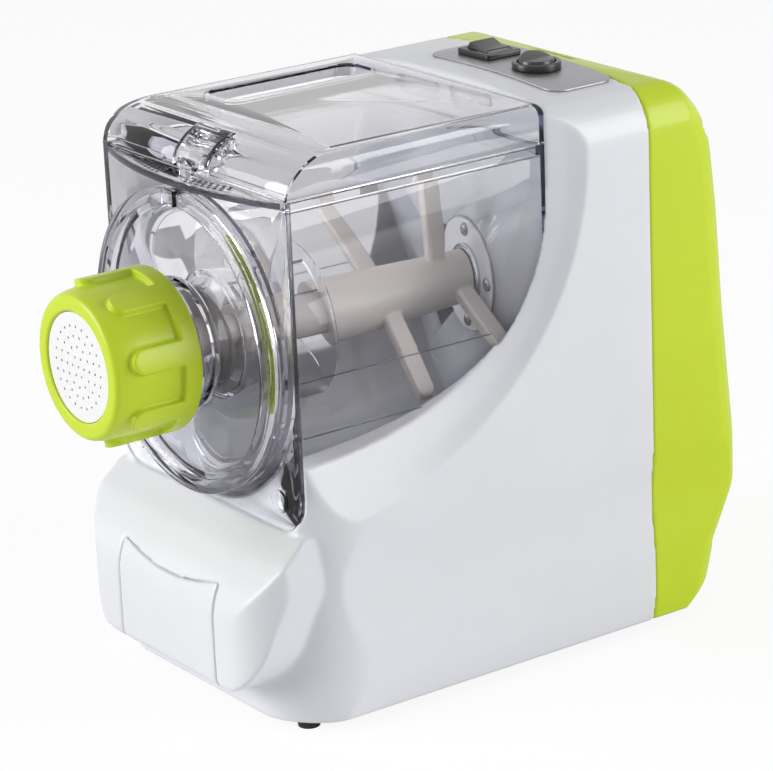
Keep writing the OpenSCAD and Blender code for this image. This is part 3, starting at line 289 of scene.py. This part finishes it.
def clear_plastic(name, hex_colour, edge_hex, density, shade_hex, roughness=0.02, ior=1.42):
    """Clear styrene copolymer, polished in its mould: grey-violet where light runs along a wall.

    Lamps shine through it with a soft shade in place of a caustic, and light caught deep inside a
    wall goes straight on.
    """
    material = new_material(name)
    place = add_node(material, "ShaderNodeTexCoord")
    flow = add_node(
        material, "ShaderNodeTexNoise", [("Vector", place, "Object")],
        Scale=1 / FLOW_SCALE, Detail=1.0, Roughness=0.4,
    )
    bump = add_node(
        material, "ShaderNodeBump", [("Height", flow, "Fac")], Strength=0.15, Distance=0.3 * MM
    )
    glass = add_node(
        material, "ShaderNodeBsdfPrincipled", [("Normal", bump, "Normal")],
        Base_Color=linear(hex_colour), Roughness=roughness, IOR=ior,
    )
    glass.inputs["Transmission Weight"].default_value = 1.0
    through = add_node(material, "ShaderNodeBsdfTransparent", Color=linear(shade_hex))
    path = add_node(material, "ShaderNodeLightPath")
    deep = add_node(material, "ShaderNodeMath", [(0, path, "Ray Depth")], operation="GREATER_THAN")
    deep.inputs[1].default_value = DEEPEST_BOUNCE
    share = add_node(
        material, "ShaderNodeMath", [(0, path, "Is Shadow Ray"), (1, deep, "Value")],
        operation="MAXIMUM",
    )
    mix = add_node(material, "ShaderNodeMixShader", [("Fac", share, "Value")])
    material.node_tree.links.new(glass.outputs[0], mix.inputs[1])
    material.node_tree.links.new(through.outputs[0], mix.inputs[2])
    output = add_node(material, "ShaderNodeOutputMaterial")
    body = add_node(
        material, "ShaderNodeVolumeAbsorption", Color=linear(edge_hex), Density=density
    )
    material.node_tree.links.new(mix.outputs[0], output.inputs["Surface"])
    material.node_tree.links.new(body.outputs[0], output.inputs["Volume"])
    return material


def metal(name, hex_colour, roughness, grain_mm):
    """Bare metal with a faint grain in its roughness."""
    material = new_material(name)
    place = add_node(material, "ShaderNodeTexCoord")
    grain = add_node(
        material, "ShaderNodeTexNoise", [("Vector", place, "Object")],
        Scale=1 / (grain_mm * MM), Detail=4.0, Roughness=0.6,
    )
    gloss = add_node(material, "ShaderNodeMapRange", [("Value", grain, "Fac")])
    gloss.inputs["To Min"].default_value = roughness * 0.7
    gloss.inputs["To Max"].default_value = roughness * 1.3
    bump = add_node(
        material, "ShaderNodeBump", [("Height", grain, "Fac")], Strength=0.2, Distance=0.02 * MM
    )
    shader = add_node(
        material, "ShaderNodeBsdfPrincipled",
        [("Roughness", gloss, "Result"), ("Normal", bump, "Normal")],
        Base_Color=linear(hex_colour), Metallic=1.0,
    )
    return finish_material(material, shader)


# Filled by the finishes operator
MATERIALS = {}

# The finish of each node of the construction
NODE_FINISHES = {
    "white_abs_gloss": ["housing", "drawer"],
    "green_abs_gloss": ["rear_cover", "lock_nut"],
    "clear_styrene": ["bowl", "lid", "lid_latch", "front_cover", "extruder_barrel"],
    "grey_hub_plastic": ["hub_plate"],
    "white_acetal": ["shaping_disc", "output_gear", "lower_idler_gear", "upper_idler_gear"],
    "beige_filled_nylon": ["mixing_paddle", "auger"],
    "satin_control_plate": ["control_plate"],
    "black_polycarbonate": [
        "main_switch_bezel", "mode_switch_bezel", "main_rocker", "mode_rocker", "motor_end_cap",
        "cooling_fan", "motor_cradle", "safety_switch", "cord_gland",
    ],
    "black_rubber": ["rubber_feet"],
    "turned_steel": [
        "base_screws", "cover_screws", "hub_screws", "shaft_seal", "latch_pin", "drive_shaft",
        "shaft_clip", "front_bearing", "rear_bearing", "idler_pins", "gearbox_pillars",
        "gearbox_screws", "motor_screws", "motor_rotor",
    ],
    "rolled_motor_steel": ["motor_can"],
    "cast_zinc": ["gearbox_front", "gearbox_rear"],
    "cut_brass": ["motor_pinion"],
    "green_circuit_board": ["control_board"],
    "grey_base_plastic": ["base_plate"],
}


class PASTA_OT_finishes(bpy.types.Operator):
    """Make the finishes and give one to each node of the construction"""

    bl_idname = "pasta.finishes"
    bl_label = "Finishes"

    def execute(self, context):
        tint = context.scene.pasta_finish
        edge = context.scene.pasta_size.edge
        MATERIALS.update(
            # Moulded ABS: soft wide highlights on a cool white and a yellow-green body
            white_abs_gloss=moulded("white_abs_gloss", tint.white, 0.34, 0.8, 0.02, edge),
            green_abs_gloss=moulded("green_abs_gloss", tint.green, 0.3, 0.8, 0.02, edge, ior=1.4),
            # Clear styrene copolymer: sharp reflections, grey-violet along its thick edges
            clear_styrene=clear_plastic("clear_styrene", tint.clear, "#7F7CA8", 17.0, "#D0D0D2"),
            # The same plastic in thin ribs, with an absorption so dense that it reads as a
            # grey-violet line: painted shade for the dark that clear edges show where light bends
            # away
            clear_styrene_rib=clear_plastic(
                "clear_styrene_rib", tint.clear, "#6F6D88", 2600.0, "#C4C4CC", roughness=0.12
            ),
            # Plainer mouldings: grey ABS, white acetal and beige glass-filled nylon, each duller
            grey_hub_plastic=moulded("grey_hub_plastic", "#C9C9CD", 0.35, 0.8, 0.02, 0),
            white_acetal=moulded("white_acetal", "#EFEFEF", 0.4, 0.8, 0.02, 0),
            beige_filled_nylon=moulded("beige_filled_nylon", tint.beige, 0.42, 0.8, 0.03, edge),
            # Rolled aluminium with a satin face, and black polycarbonate with a crisp gloss
            satin_control_plate=metal("satin_control_plate", tint.plate, 0.4, 0.6),
            black_polycarbonate=moulded(
                "black_polycarbonate", "#1E1E20", 0.28, 0.6, 0.02, 0.3 * MM
            ),
            black_rubber=moulded("black_rubber", "#1B1B1C", 0.7, 0.5, 0.05, 0),
            # Metals, from the bright turned parts to the dull zinc castings
            dark_screw_steel=metal("dark_screw_steel", "#8C8C93", 0.22, 0.5),
            turned_steel=metal("turned_steel", tint.steel, 0.25, 0.5),
            rolled_motor_steel=metal("rolled_motor_steel", "#A9ABAF", 0.35, 0.5),
            cast_zinc=metal("cast_zinc", "#9A9CA0", 0.5, 1.0),
            cut_brass=metal("cut_brass", "#D8B25A", 0.25, 0.5),
            # Solder mask over a glass board, and the matt base
            green_circuit_board=moulded("green_circuit_board", "#1E5B36", 0.4, 0.5, 0.02, 0),
            grey_base_plastic=moulded("grey_base_plastic", "#C6C7CB", 0.5, 0.6, 0.03, 0),
        )
        for name, nodes in NODE_FINISHES.items():
            for node in nodes:
                slots = NODES[node].data.materials
                slots.clear()
                slots.append(MATERIALS[name])
        return {"FINISHED"}


# ---- shells ----------------------------------------------------------------------------------


# Piece, node, voxel in mm, smoothing rounds, faces, finish, body and slot
SOFT_SHELLS = (
    ("soft_housing", "housing", 1.1, 6, 150000, "white_abs_gloss", "body", "white_shell"),
    ("soft_drawer", "drawer", 0.8, 3, 60000, "white_abs_gloss", "drawer", "white_shell"),
    ("soft_rear_cover", "rear_cover", 1.1, 6, 120000, "green_abs_gloss", "body", "green_shell"),
)
SOFT_TURNING_PARTS = (
    ("soft_lock_nut", "lock_nut", 0.6, 4, 90000, "green_abs_gloss", "nut", "green_shell"),
    (
        "soft_mixing_paddle", "mixing_paddle", 0.7, 4, 60000, "beige_filled_nylon", "drive",
        "beige_plastic",
    ),
)


def soft_pieces(rows):
    """A softened copy of each node, which stands for it."""
    deselect()
    for name, node, voxel_mm, rounds, faces, material, body, slot in rows:
        piece = soften(node_copy(name, node), voxel_mm * MM, rounds, faces)
        dress(piece, material, body, slot, node)
    return {"FINISHED"}


class PASTA_OT_shells(bpy.types.Operator):
    """White housing, drawer and green rear cover with the soft edges of moulded shells"""

    bl_idname = "pasta.shells"
    bl_label = "Shells"

    def execute(self, context):
        return soft_pieces(SOFT_SHELLS)


class PASTA_OT_turning_parts(bpy.types.Operator):
    """Lock nut with soft finger pads, and mixing paddle with soft arms"""

    bl_idname = "pasta.turning_parts"
    bl_label = "Lock nut and paddle"

    def execute(self, context):
        return soft_pieces(SOFT_TURNING_PARTS)


# ---- clear parts -----------------------------------------------------------------------------

CLEAR_EDGE = 0.6 * MM
# Each clear node and the body that it rides on
CLEAR_PARTS = {
    "bowl": "body", "lid": "lid", "lid_latch": "latch", "front_cover": "head",
    "extruder_barrel": "head",
}


class PASTA_OT_clear_parts(bpy.types.Operator):
    """Bowl, lid, latch, front cover and barrel with eased edges that catch the light"""

    bl_idname = "pasta.clear_parts"
    bl_label = "Clear parts"

    def execute(self, context):
        deselect()
        for node, body in CLEAR_PARTS.items():
            piece = ease_edges(node_copy("clear_" + node, node), CLEAR_EDGE)
            dress(piece, "clear_styrene", body, "clear_plastic", node)
        return {"FINISHED"}


def bar(name, low, high, round_off, segments=2):
    """A straight bar between two corners, with its edges rounded."""
    deselect()
    low, high = Vector(low), Vector(high)
    bpy.ops.mesh.primitive_cube_add(size=1, location=(low + high) / 2)
    piece = bpy.context.object
    piece.name = name
    bpy.ops.object.mode_set(mode="EDIT")
    bpy.ops.mesh.select_all(action="SELECT")
    bpy.ops.transform.resize(value=high - low, center_override=(low + high) / 2)
    bpy.ops.mesh.bevel(offset=round_off, segments=segments, affect="EDGES")
    bpy.ops.object.mode_set(mode="OBJECT")
    bpy.ops.object.transform_apply(location=True, rotation=True, scale=True)
    bpy.ops.object.shade_smooth_by_angle(angle=math.radians(35))
    return piece


def cut_corners(points, rounds=3):
    """A polyline with its corners rounded by cutting them again and again."""
    for _ in range(rounds):
        cut = [points[0]]
        for a, b in zip(points, points[1:]):
            cut += [a.lerp(b, 0.25), a.lerp(b, 0.75)]
        points = cut + [points[-1]]
    return points


def ribbon(name, across, points, thickness, round_off):
    """A strip between two offsets from a line, drawn along that line, with a thickness."""
    deselect()
    mesh = bpy.data.meshes.new(name)
    mesh.from_pydata([points[0] + offset for offset in across], [(0, 1)], [])
    piece = bpy.data.objects.new(name, mesh)
    bpy.context.collection.objects.link(piece)
    make_active(piece)
    bpy.ops.object.mode_set(mode="EDIT")
    bpy.ops.mesh.select_all(action="SELECT")
    for a, b in zip(points, points[1:]):
        bpy.ops.mesh.extrude_edges_move(TRANSFORM_OT_translate={"value": b - a})
    bpy.ops.mesh.select_all(action="SELECT")
    bpy.ops.mesh.normals_make_consistent(inside=False)
    bpy.ops.object.mode_set(mode="OBJECT")
    apply_modifier(piece, "SOLIDIFY", thickness=thickness, offset=0.0)
    apply_modifier(
        piece, "BEVEL", width=round_off, segments=2, limit_method="ANGLE",
        angle_limit=math.radians(50),
    )
    make_active(piece)
    bpy.ops.object.shade_smooth_by_angle(angle=math.radians(40))
    return piece


# The lid's front from its lower edge to its flat top, as shares of the curve's length and height
LID_CURVE = ((0.0, 0.0), (0.08, 0.38), (0.44, 0.8), (1.0, 1.0))
LID_CURVE_LENGTH = 26 * MM
# Way in which the frame stands off that curve
LID_CURVE_OUT = Vector((0, -0.75, 0.66))
# Width of the latch's frame, its thickness, how far it stands off the lid, and its rounding
FRAME_WIDE, FRAME_THICK, FRAME_PROUD, FRAME_ROUND = 1.7 * MM, 1.0 * MM, 1.3 * MM, 0.3 * MM
# The frame starts this far above the lid's lower edge
FRAME_FOOT = 3 * MM


class PASTA_OT_latch_frame(bpy.types.Operator):
    """Raised frame round the latch tab in the lid's front edge"""

    bl_idname = "pasta.latch_frame"
    bl_label = "Latch frame"

    def execute(self, context):
        low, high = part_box("lid")
        tab_low, tab_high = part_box("lid_latch")
        rows = [
            Vector((0, low.y + y * LID_CURVE_LENGTH, low.z + z * (high.z - low.z)))
            for y, z in LID_CURVE
        ]
        out = LID_CURVE_OUT * FRAME_PROUD
        back = tab_high.y - FRAME_WIDE / 2
        curve = [
            q + out for q in cut_corners(rows) if q.z > low.z + FRAME_FOOT and q.y < back
        ]
        made = []
        for side in (-1, 1):
            edges = [Vector((side * x, 0, 0)) for x in (tab_high.x - FRAME_WIDE, tab_high.x)]
            made.append(ribbon("latch_side", edges, curve, FRAME_THICK, FRAME_ROUND))
        last, before = curve[-1], curve[-2]
        along = (last - before).normalized() * FRAME_WIDE
        ends = [Vector((x, 0, 0)) for x in (tab_low.x + FRAME_ROUND, tab_high.x - FRAME_ROUND)]
        made.append(ribbon("latch_top", ends, [last - along, last], FRAME_THICK, FRAME_ROUND))
        # The frame is dark grey-violet from the dense rib plastic: painted shade
        dress(joined("latch_frame", made), "clear_styrene_rib", "latch", "clear_plastic")
        return {"FINISHED"}


# From the bowl's front face back to the front cover's rear edge
COVER_DEPTH = 5.7 * MM
# The lines on the bowl's sides: how far below the drive axis, and where they end behind the front
MOULDING_LINES = ((5.5 * MM, 117 * MM), (33.3 * MM, 73 * MM))
LINE_START, LINE_LENGTH_FROM = 18 * MM, 15 * MM
# Half a line's height, its depth into the wall, how far it stands off it, and its rounding
LINE_HALF, LINE_IN, LINE_OUT, LINE_ROUND = 0.3 * MM, 0.15 * MM, 0.25 * MM, 0.1 * MM
# Both corners of the rim flange, below its top, where a dark line of painted shade runs
RIM_LINES = (0.6 * MM, 5.4 * MM)
# Where the dark strip on each side of the front plate's edge runs behind the front: painted shade
# where the plate's edge, seen end-on, reads dark
PLATE_EDGE_SHADE = (0.2 * MM, 2.8 * MM)
# The finger ledge: its lip's lower and upper edge below the rim, and its thickness and rounding
LEDGE_INSET = 4 * MM
LIP_EDGES = (4.0, 0.9)
LIP_THICK, LIP_ROUND, LIP_STEPS = 0.7 * MM, 0.2 * MM, 16
# The grip dots: radius, flatness, distance along a row, and the rows' places behind the ledge
DOT_RADIUS, DOT_FLAT, DOT_PITCH = 1.0 * MM, 0.55, 4.2 * MM
DOT_FIRST_ROW, DOT_ROW_PITCH, DOT_ROWS, DOT_HALF_ROW = 2.2, 2.8, 3, 9
# No dot stands this near the middle, where the latch comes down
DOT_CLEAR = 9 * MM


class PASTA_OT_bowl_trim(bpy.types.Operator):
    """Moulding lines and edges of the bowl, and the lip and grip dots of its finger ledge; lines,
    edges and lip are dark by painted shade
    """

    bl_idname = "pasta.bowl_trim"
    bl_label = "Bowl trim"

    def execute(self, context):
        low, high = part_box("bowl")
        cover_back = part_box("front_cover")[1].y
        front = cover_back - COVER_DEPTH
        self.make_lines(low, high, front)
        self.make_lip(low, high, front)
        self.make_dots(low, high, cover_back)
        return {"FINISHED"}

    def make_lines(self, low, high, front):
        """Thin lines along the sides, the rim and the front plate's edges, in painted shade: the
        side lines are moulding lines made darker than they are, the rim lines and plate strips are
        painted shade where those edges read dark
        """
        nut_low, nut_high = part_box("lock_nut")
        axis = (nut_low.z + nut_high.z) / 2
        made = []
        for side in (-1, 1):
            inner, outer = sorted((side * (high.x - LINE_IN), side * (high.x + LINE_OUT)))
            spans = [
                ("moulding_line", low.y + LINE_START, low.y + LINE_LENGTH_FROM + length,
                 axis - below - LINE_HALF, axis - below + LINE_HALF)
                for below, length in MOULDING_LINES
            ]
            spans += [
                ("rim_line_painted_shade", front, high.y - 1 * MM,
                 high.z - below - LINE_HALF, high.z - below + LINE_HALF)
                for below in RIM_LINES
            ]
            spans.append((
                "plate_edge_painted_shade", front + PLATE_EDGE_SHADE[0], front + PLATE_EDGE_SHADE[1],
                low.z + LINE_START, high.z - 1 * MM,
            ))
            for name, y0, y1, z0, z1 in spans:
                made.append(bar(name, (inner, y0, z0), (outer, y1, z1), LINE_ROUND))
        dress(joined("bowl_lines_painted_shade", made), "clear_styrene_rib", "body", "clear_plastic")

    def make_lip(self, low, high, front):
        """Lip along the ledge's arched front edge"""
        half = high.x - LEDGE_INSET
        arch = front - low.y
        radius = (half**2 + arch**2) / (2 * arch)
        reach = math.asin(half / radius)
        line = []
        for i in range(-LIP_STEPS, LIP_STEPS + 1):
            a = reach * i / LIP_STEPS
            line.append(Vector((radius * math.sin(a), low.y + radius * (1 - math.cos(a)), 0)))
        ends = [Vector((0, 0, high.z - z * MM)) for z in LIP_EDGES]
        lip = ribbon("ledge_lip", ends, line, LIP_THICK, LIP_ROUND)
        # The lip is dark grey-violet from the dense rib plastic: painted shade
        dress(lip, "clear_styrene_rib", "body", "clear_plastic")

    def make_dots(self, low, high, cover_back):
        """Grip dots in rows that follow the ledge's arch"""
        top = high.z - RIM_LINES[0]
        deselect()
        bpy.ops.mesh.primitive_uv_sphere_add(
            segments=12, ring_count=6, radius=DOT_RADIUS, location=(0, 0, top)
        )
        dot = bpy.context.object
        bpy.ops.object.transform_apply(location=True, rotation=True, scale=True)
        bpy.ops.object.mode_set(mode="EDIT")
        bpy.ops.mesh.select_all(action="SELECT")
        bpy.ops.transform.resize(value=(1, 1, DOT_FLAT), center_override=(0, 0, top))
        bpy.ops.mesh.bisect(
            plane_co=(0, 0, top), plane_no=(0, 0, 1), use_fill=True, clear_inner=True
        )
        bpy.ops.object.mode_set(mode="OBJECT")
        bpy.ops.object.shade_smooth()
        half = (high.x - low.x) / 2
        places = []
        for row in range(DOT_ROWS):
            for i in range(-DOT_HALF_ROW, DOT_HALF_ROW + 1):
                x = (i + 0.5 * (row % 2)) * DOT_PITCH
                if abs(x) < DOT_CLEAR:
                    continue
                arch = (cover_back - low.y) * (1 - (x / half) ** 2)
                behind = (DOT_FIRST_ROW + DOT_ROW_PITCH * row) * MM
                places.append(Vector((x, cover_back - arch + behind, 0)))
        dots = copies(dot, places)
        bpy.data.objects.remove(dots.pop(0))
        dress(joined("ledge_grip_dots", dots), "clear_styrene", "body", "clear_plastic")


# ---- hub -------------------------------------------------------------------------------------


def lathe(name, centre, rows, segments=96):
    """A closed ring round the drive axis, from rows of radius and place along Y."""
    deselect()
    radius, y = rows[0]
    bpy.ops.mesh.primitive_circle_add(
        vertices=segments, radius=radius, location=(centre.x, y, centre.z),
        rotation=(math.pi / 2, 0, 0),
    )
    piece = bpy.context.object
    piece.name = name
    bpy.ops.object.transform_apply(location=True, rotation=True, scale=True)
    bpy.ops.object.mode_set(mode="EDIT")
    bpy.ops.mesh.select_all(action="SELECT")
    for next_radius, next_y in rows[1:] + rows[:1]:
        bpy.ops.mesh.extrude_edges_move(TRANSFORM_OT_translate={"value": (0, next_y - y, 0)})
        share = next_radius / radius
        bpy.ops.transform.resize(value=(share, 1, share), center_override=centre)
        radius, y = next_radius, next_y
    bpy.ops.mesh.select_all(action="SELECT")
    bpy.ops.mesh.remove_doubles(threshold=0.005 * MM)
    bpy.ops.mesh.normals_make_consistent(inside=False)
    bpy.ops.object.mode_set(mode="OBJECT")
    return piece


# The seal ring's face: in from its rim and behind its front, in mm
SEAL_FACE = (
    (4.0, 1.2), (3.4, 0.5), (2.6, 0.5), (2.1, 1.1), (1.6, 1.1), (1.1, 0.2), (0.5, 0.0),
    (0.1, 0.5), (0.0, 1.1),
)
SEAL_BORE, SEAL_WAIST = 4.0 * MM, 1.1 * MM
# A screw's head: radius and height over the hub plate, in mm, from its recess to its rim
SCREW_HEAD = (
    (0.9, 1.35), (1.3, 2.1), (2.2, 2.05), (3.1, 1.5), (3.6, 0.6), (3.7, 0.02), (1.3, 0.02),
)
SCREW_SHANK, SCREW_CORE, SCREW_RECESS = 1.3 * MM, 0.2 * MM, 1.3 * MM
# From the screws' circle out to the edge of the construction's screw heads
SCREW_INSET = 3.3 * MM
SCREW_SEGMENTS = 32


class PASTA_OT_hub(bpy.types.Operator):
    """Double chrome ring and domed screws on the hub in the bowl's rear wall"""

    bl_idname = "pasta.hub"
    bl_label = "Hub"

    def execute(self, context):
        low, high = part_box("shaft_seal")
        centre = (low + high) / 2
        outer = (high.x - low.x) / 2
        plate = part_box("hub_plate")[0].y
        front = low.y
        face = [(outer - inward * MM, front + behind * MM) for inward, behind in SEAL_FACE]
        ring = lathe("seal_ring", centre, [
            (outer - SEAL_BORE, high.y), *face, (outer, plate - 0.05 * MM),
            (outer - SEAL_WAIST, plate), (outer - SEAL_WAIST, high.y),
        ])
        make_active(ring)
        bpy.ops.object.shade_smooth_by_angle(angle=math.radians(50))
        dress(ring, "turned_steel", "body", "steel", "shaft_seal")

        low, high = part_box("hub_screws")
        reach = (high.x - low.x) / 2 - SCREW_INSET
        top = Vector((centre.x, plate, centre.z + reach))
        rows = [(radius * MM, plate - height * MM) for radius, height in SCREW_HEAD]
        rows += [
            (SCREW_SHANK, high.y), (SCREW_CORE, high.y), (SCREW_CORE, plate - SCREW_RECESS),
        ]
        screw = lathe("dome_screw", top, rows, SCREW_SEGMENTS)
        make_active(screw)
        bpy.ops.object.shade_smooth_by_angle(angle=math.radians(50))
        shifts = [Vector((x * reach, 0, (z - 1) * reach)) for x, z in ((1, 0), (0, -1), (-1, 0))]
        screws = joined("hub_dome_screws", copies(screw, shifts))
        dress(screws, "dark_screw_steel", "body", "steel", "hub_screws")
        return {"FINISHED"}


# ---- controls --------------------------------------------------------------------------------


# Node, body, finish, slot and the width of its eased edges in mm
CONTROLS = (
    ("control_plate", "body", "satin_control_plate", "grey_plate", 0.3),
    ("main_switch_bezel", "body", "black_polycarbonate", "black_plastic", 0.6),
    ("mode_switch_bezel", "body", "black_polycarbonate", "black_plastic", 0.8),
    ("main_rocker", "main_rocker", "black_polycarbonate", "black_plastic", 0.6),
    ("mode_rocker", "mode_rocker", "black_polycarbonate", "black_plastic", 0.6),
)


class PASTA_OT_controls(bpy.types.Operator):
    """Control plate, switch bezels and rockers with eased edges"""

    bl_idname = "pasta.controls"
    bl_label = "Controls"

    def execute(self, context):
        deselect()
        for node, body, material, slot, width in CONTROLS:
            piece = ease_edges(node_copy("eased_" + node, node), width * MM, 3)
            dress(piece, material, body, slot, node)
        return {"FINISHED"}


# ---- stage -----------------------------------------------------------------------------------


def camera_axes():
    """Right, up and back of the camera, with the photograph's slight roll."""
    ahead = Vector((
        -math.sin(VIEW_AZIMUTH) * math.cos(VIEW_ELEVATION),
        math.cos(VIEW_AZIMUTH) * math.cos(VIEW_ELEVATION),
        -math.sin(VIEW_ELEVATION),
    ))
    right = Vector((math.cos(VIEW_AZIMUTH), math.sin(VIEW_AZIMUTH), 0))
    up = right.cross(ahead)
    c, s = math.cos(VIEW_ROLL), math.sin(VIEW_ROLL)
    return right * c + up * s, up * c - right * s, -ahead


# Name, place and aim in metres, width and height of the panel, and watts
LAMPS = (
    ("right_softbox", (2.0, 1.5, 0.9), (0, 0.05, 0.13), (1.5, 1.5), 39),
    ("front_softbox", (-1.1, -2.3, 1.0), (0, 0, 0.13), (1.5, 1.5), 53),
    ("top_softbox", (-0.2, 0.5, 2.3), (0, 0, 0.15), (1.8, 1.8), 5),
)
# Strength of the surroundings as a light, and as they are seen
WORLD_LIGHT, WORLD_SEEN = 0.23, 1.0
# The floor's own glow to the camera and its share there, which keeps it near white
FLOOR_GLOW, FLOOR_GLOW_SHARE = 1.04, 0.85
CLIP_END = 50


def area_lamp(name, place, aim, size, power):
    """A rectangular softbox turned to its aim."""
    bpy.ops.object.light_add(type="AREA", location=place)
    lamp = bpy.context.object
    lamp.name = name
    lamp.data.shape = "RECTANGLE"
    lamp.data.size, lamp.data.size_y = size
    lamp.data.energy = power
    lamp.rotation_euler = (Vector(aim) - Vector(place)).to_track_quat("-Z", "Y").to_euler()


class PASTA_OT_stage(bpy.types.Operator):
    """Pale floor, white surroundings, soft lamps and the camera at the photograph's angle"""

    bl_idname = "pasta.stage"
    bl_label = "Studio stage"

    def execute(self, context):
        self.make_floor(context)
        self.make_camera(context)
        for lamp in LAMPS:
            area_lamp(*lamp)
        self.make_world(context)
        context.scene.view_settings.view_transform = "Standard"
        return {"FINISHED"}

    def make_floor(self, context):
        """A wide sheet of pale paper"""
        deselect()
        width = context.scene.pasta_size.floor
        bpy.ops.mesh.primitive_plane_add(size=width, location=(0, 0, 0))
        floor = context.object
        floor.name = "studio_floor"
        material = new_material("white_paper_floor")
        paper = add_node(
            material, "ShaderNodeBsdfPrincipled", Base_Color=linear("#FAFAFC"), Roughness=0.8
        )
        glow = add_node(
            material, "ShaderNodeEmission", Color=(1, 1, 1, 1), Strength=FLOOR_GLOW
        )
        path = add_node(material, "ShaderNodeLightPath")
        seen = add_node(
            material, "ShaderNodeMath", [(0, path, "Is Camera Ray")], operation="MULTIPLY"
        )
        seen.inputs[1].default_value = FLOOR_GLOW_SHARE
        mix = add_node(material, "ShaderNodeMixShader", [("Fac", seen, "Value")])
        material.node_tree.links.new(paper.outputs[0], mix.inputs[1])
        material.node_tree.links.new(glow.outputs[0], mix.inputs[2])
        finish_material(material, mix)
        floor.data.materials.append(material)

    def make_camera(self, context):
        """The photograph's view"""
        right, up, back = camera_axes()
        turn = Matrix((right, up, back)).transposed().to_4x4()
        bpy.ops.object.camera_add(location=VIEW_TARGET + back * VIEW_DISTANCE)
        camera = context.object
        camera.name = "photo_camera"
        camera.rotation_euler = turn.to_euler()
        camera.data.lens = VIEW_LENS
        camera.data.sensor_width = SENSOR_WIDTH
        camera.data.shift_x, camera.data.shift_y = VIEW_SHIFT
        camera.data.clip_end = CLIP_END
        context.scene.camera = camera

    def make_world(self, context):
        """White to the camera and in reflections, and a weaker cool light on everything else"""
        world = bpy.data.worlds.new("white_studio")
        context.scene.world = world
        world.use_nodes = True
        world.node_tree.nodes.clear()
        light = add_node(
            world, "ShaderNodeBackground", Color=linear("#F2F3F6"), Strength=WORLD_LIGHT
        )
        seen = add_node(world, "ShaderNodeBackground", Color=(1, 1, 1, 1), Strength=WORLD_SEEN)
        path = add_node(world, "ShaderNodeLightPath")
        mirror = add_node(
            world, "ShaderNodeMath",
            [(0, path, "Is Glossy Ray"), (1, path, "Is Transmission Ray")], operation="MAXIMUM",
        )
        direct = add_node(
            world, "ShaderNodeMath", [(0, path, "Is Camera Ray"), (1, mirror, "Value")],
            operation="MAXIMUM",
        )
        mix = add_node(world, "ShaderNodeMixShader", [("Fac", direct, "Value")])
        world.node_tree.links.new(light.outputs[0], mix.inputs[1])
        world.node_tree.links.new(seen.outputs[0], mix.inputs[2])
        output = add_node(world, "ShaderNodeOutputWorld")
        world.node_tree.links.new(mix.outputs[0], output.inputs["Surface"])


# ---- panel -----------------------------------------------------------------------------------

# In the order in which they run
OPERATORS = (
    PASTA_OT_finishes, PASTA_OT_shells, PASTA_OT_turning_parts, PASTA_OT_clear_parts,
    PASTA_OT_latch_frame, PASTA_OT_bowl_trim, PASTA_OT_hub, PASTA_OT_controls, PASTA_OT_stage,
)


class PASTA_PT_panel(bpy.types.Panel):
    """Sizes, colours and steps of the pasta maker's looks"""

    bl_label = "Pasta Maker"
    bl_idname = "PASTA_PT_panel"
    bl_space_type = "VIEW_3D"
    bl_region_type = "UI"
    bl_category = "Pasta Maker"

    def draw(self, context):
        for group in (context.scene.pasta_size, context.scene.pasta_finish):
            for name in group.bl_rna.properties.keys():
                if name not in ("rna_type", "name"):
                    self.layout.prop(group, name)
        for operator in OPERATORS:
            self.layout.operator(operator.bl_idname)


CLASSES = (PastaFinishSettings, PastaSizeSettings, *OPERATORS, PASTA_PT_panel)


def register():
    """Make the classes and the settings known to Blender."""
    for c in CLASSES:
        bpy.utils.register_class(c)
    bpy.types.Scene.pasta_finish = bpy.props.PointerProperty(type=PastaFinishSettings)
    bpy.types.Scene.pasta_size = bpy.props.PointerProperty(type=PastaSizeSettings)


def unregister():
    """Take the settings and the classes away again."""
    del bpy.types.Scene.pasta_size
    del bpy.types.Scene.pasta_finish
    for c in reversed(CLASSES):
        bpy.utils.unregister_class(c)


def main():
    """Run every step as the panel's buttons would."""
    register()
    for operator in OPERATORS:
        getattr(bpy.ops.pasta, operator.bl_idname.split(".")[1])()


if __name__ == "__main__":
    main()
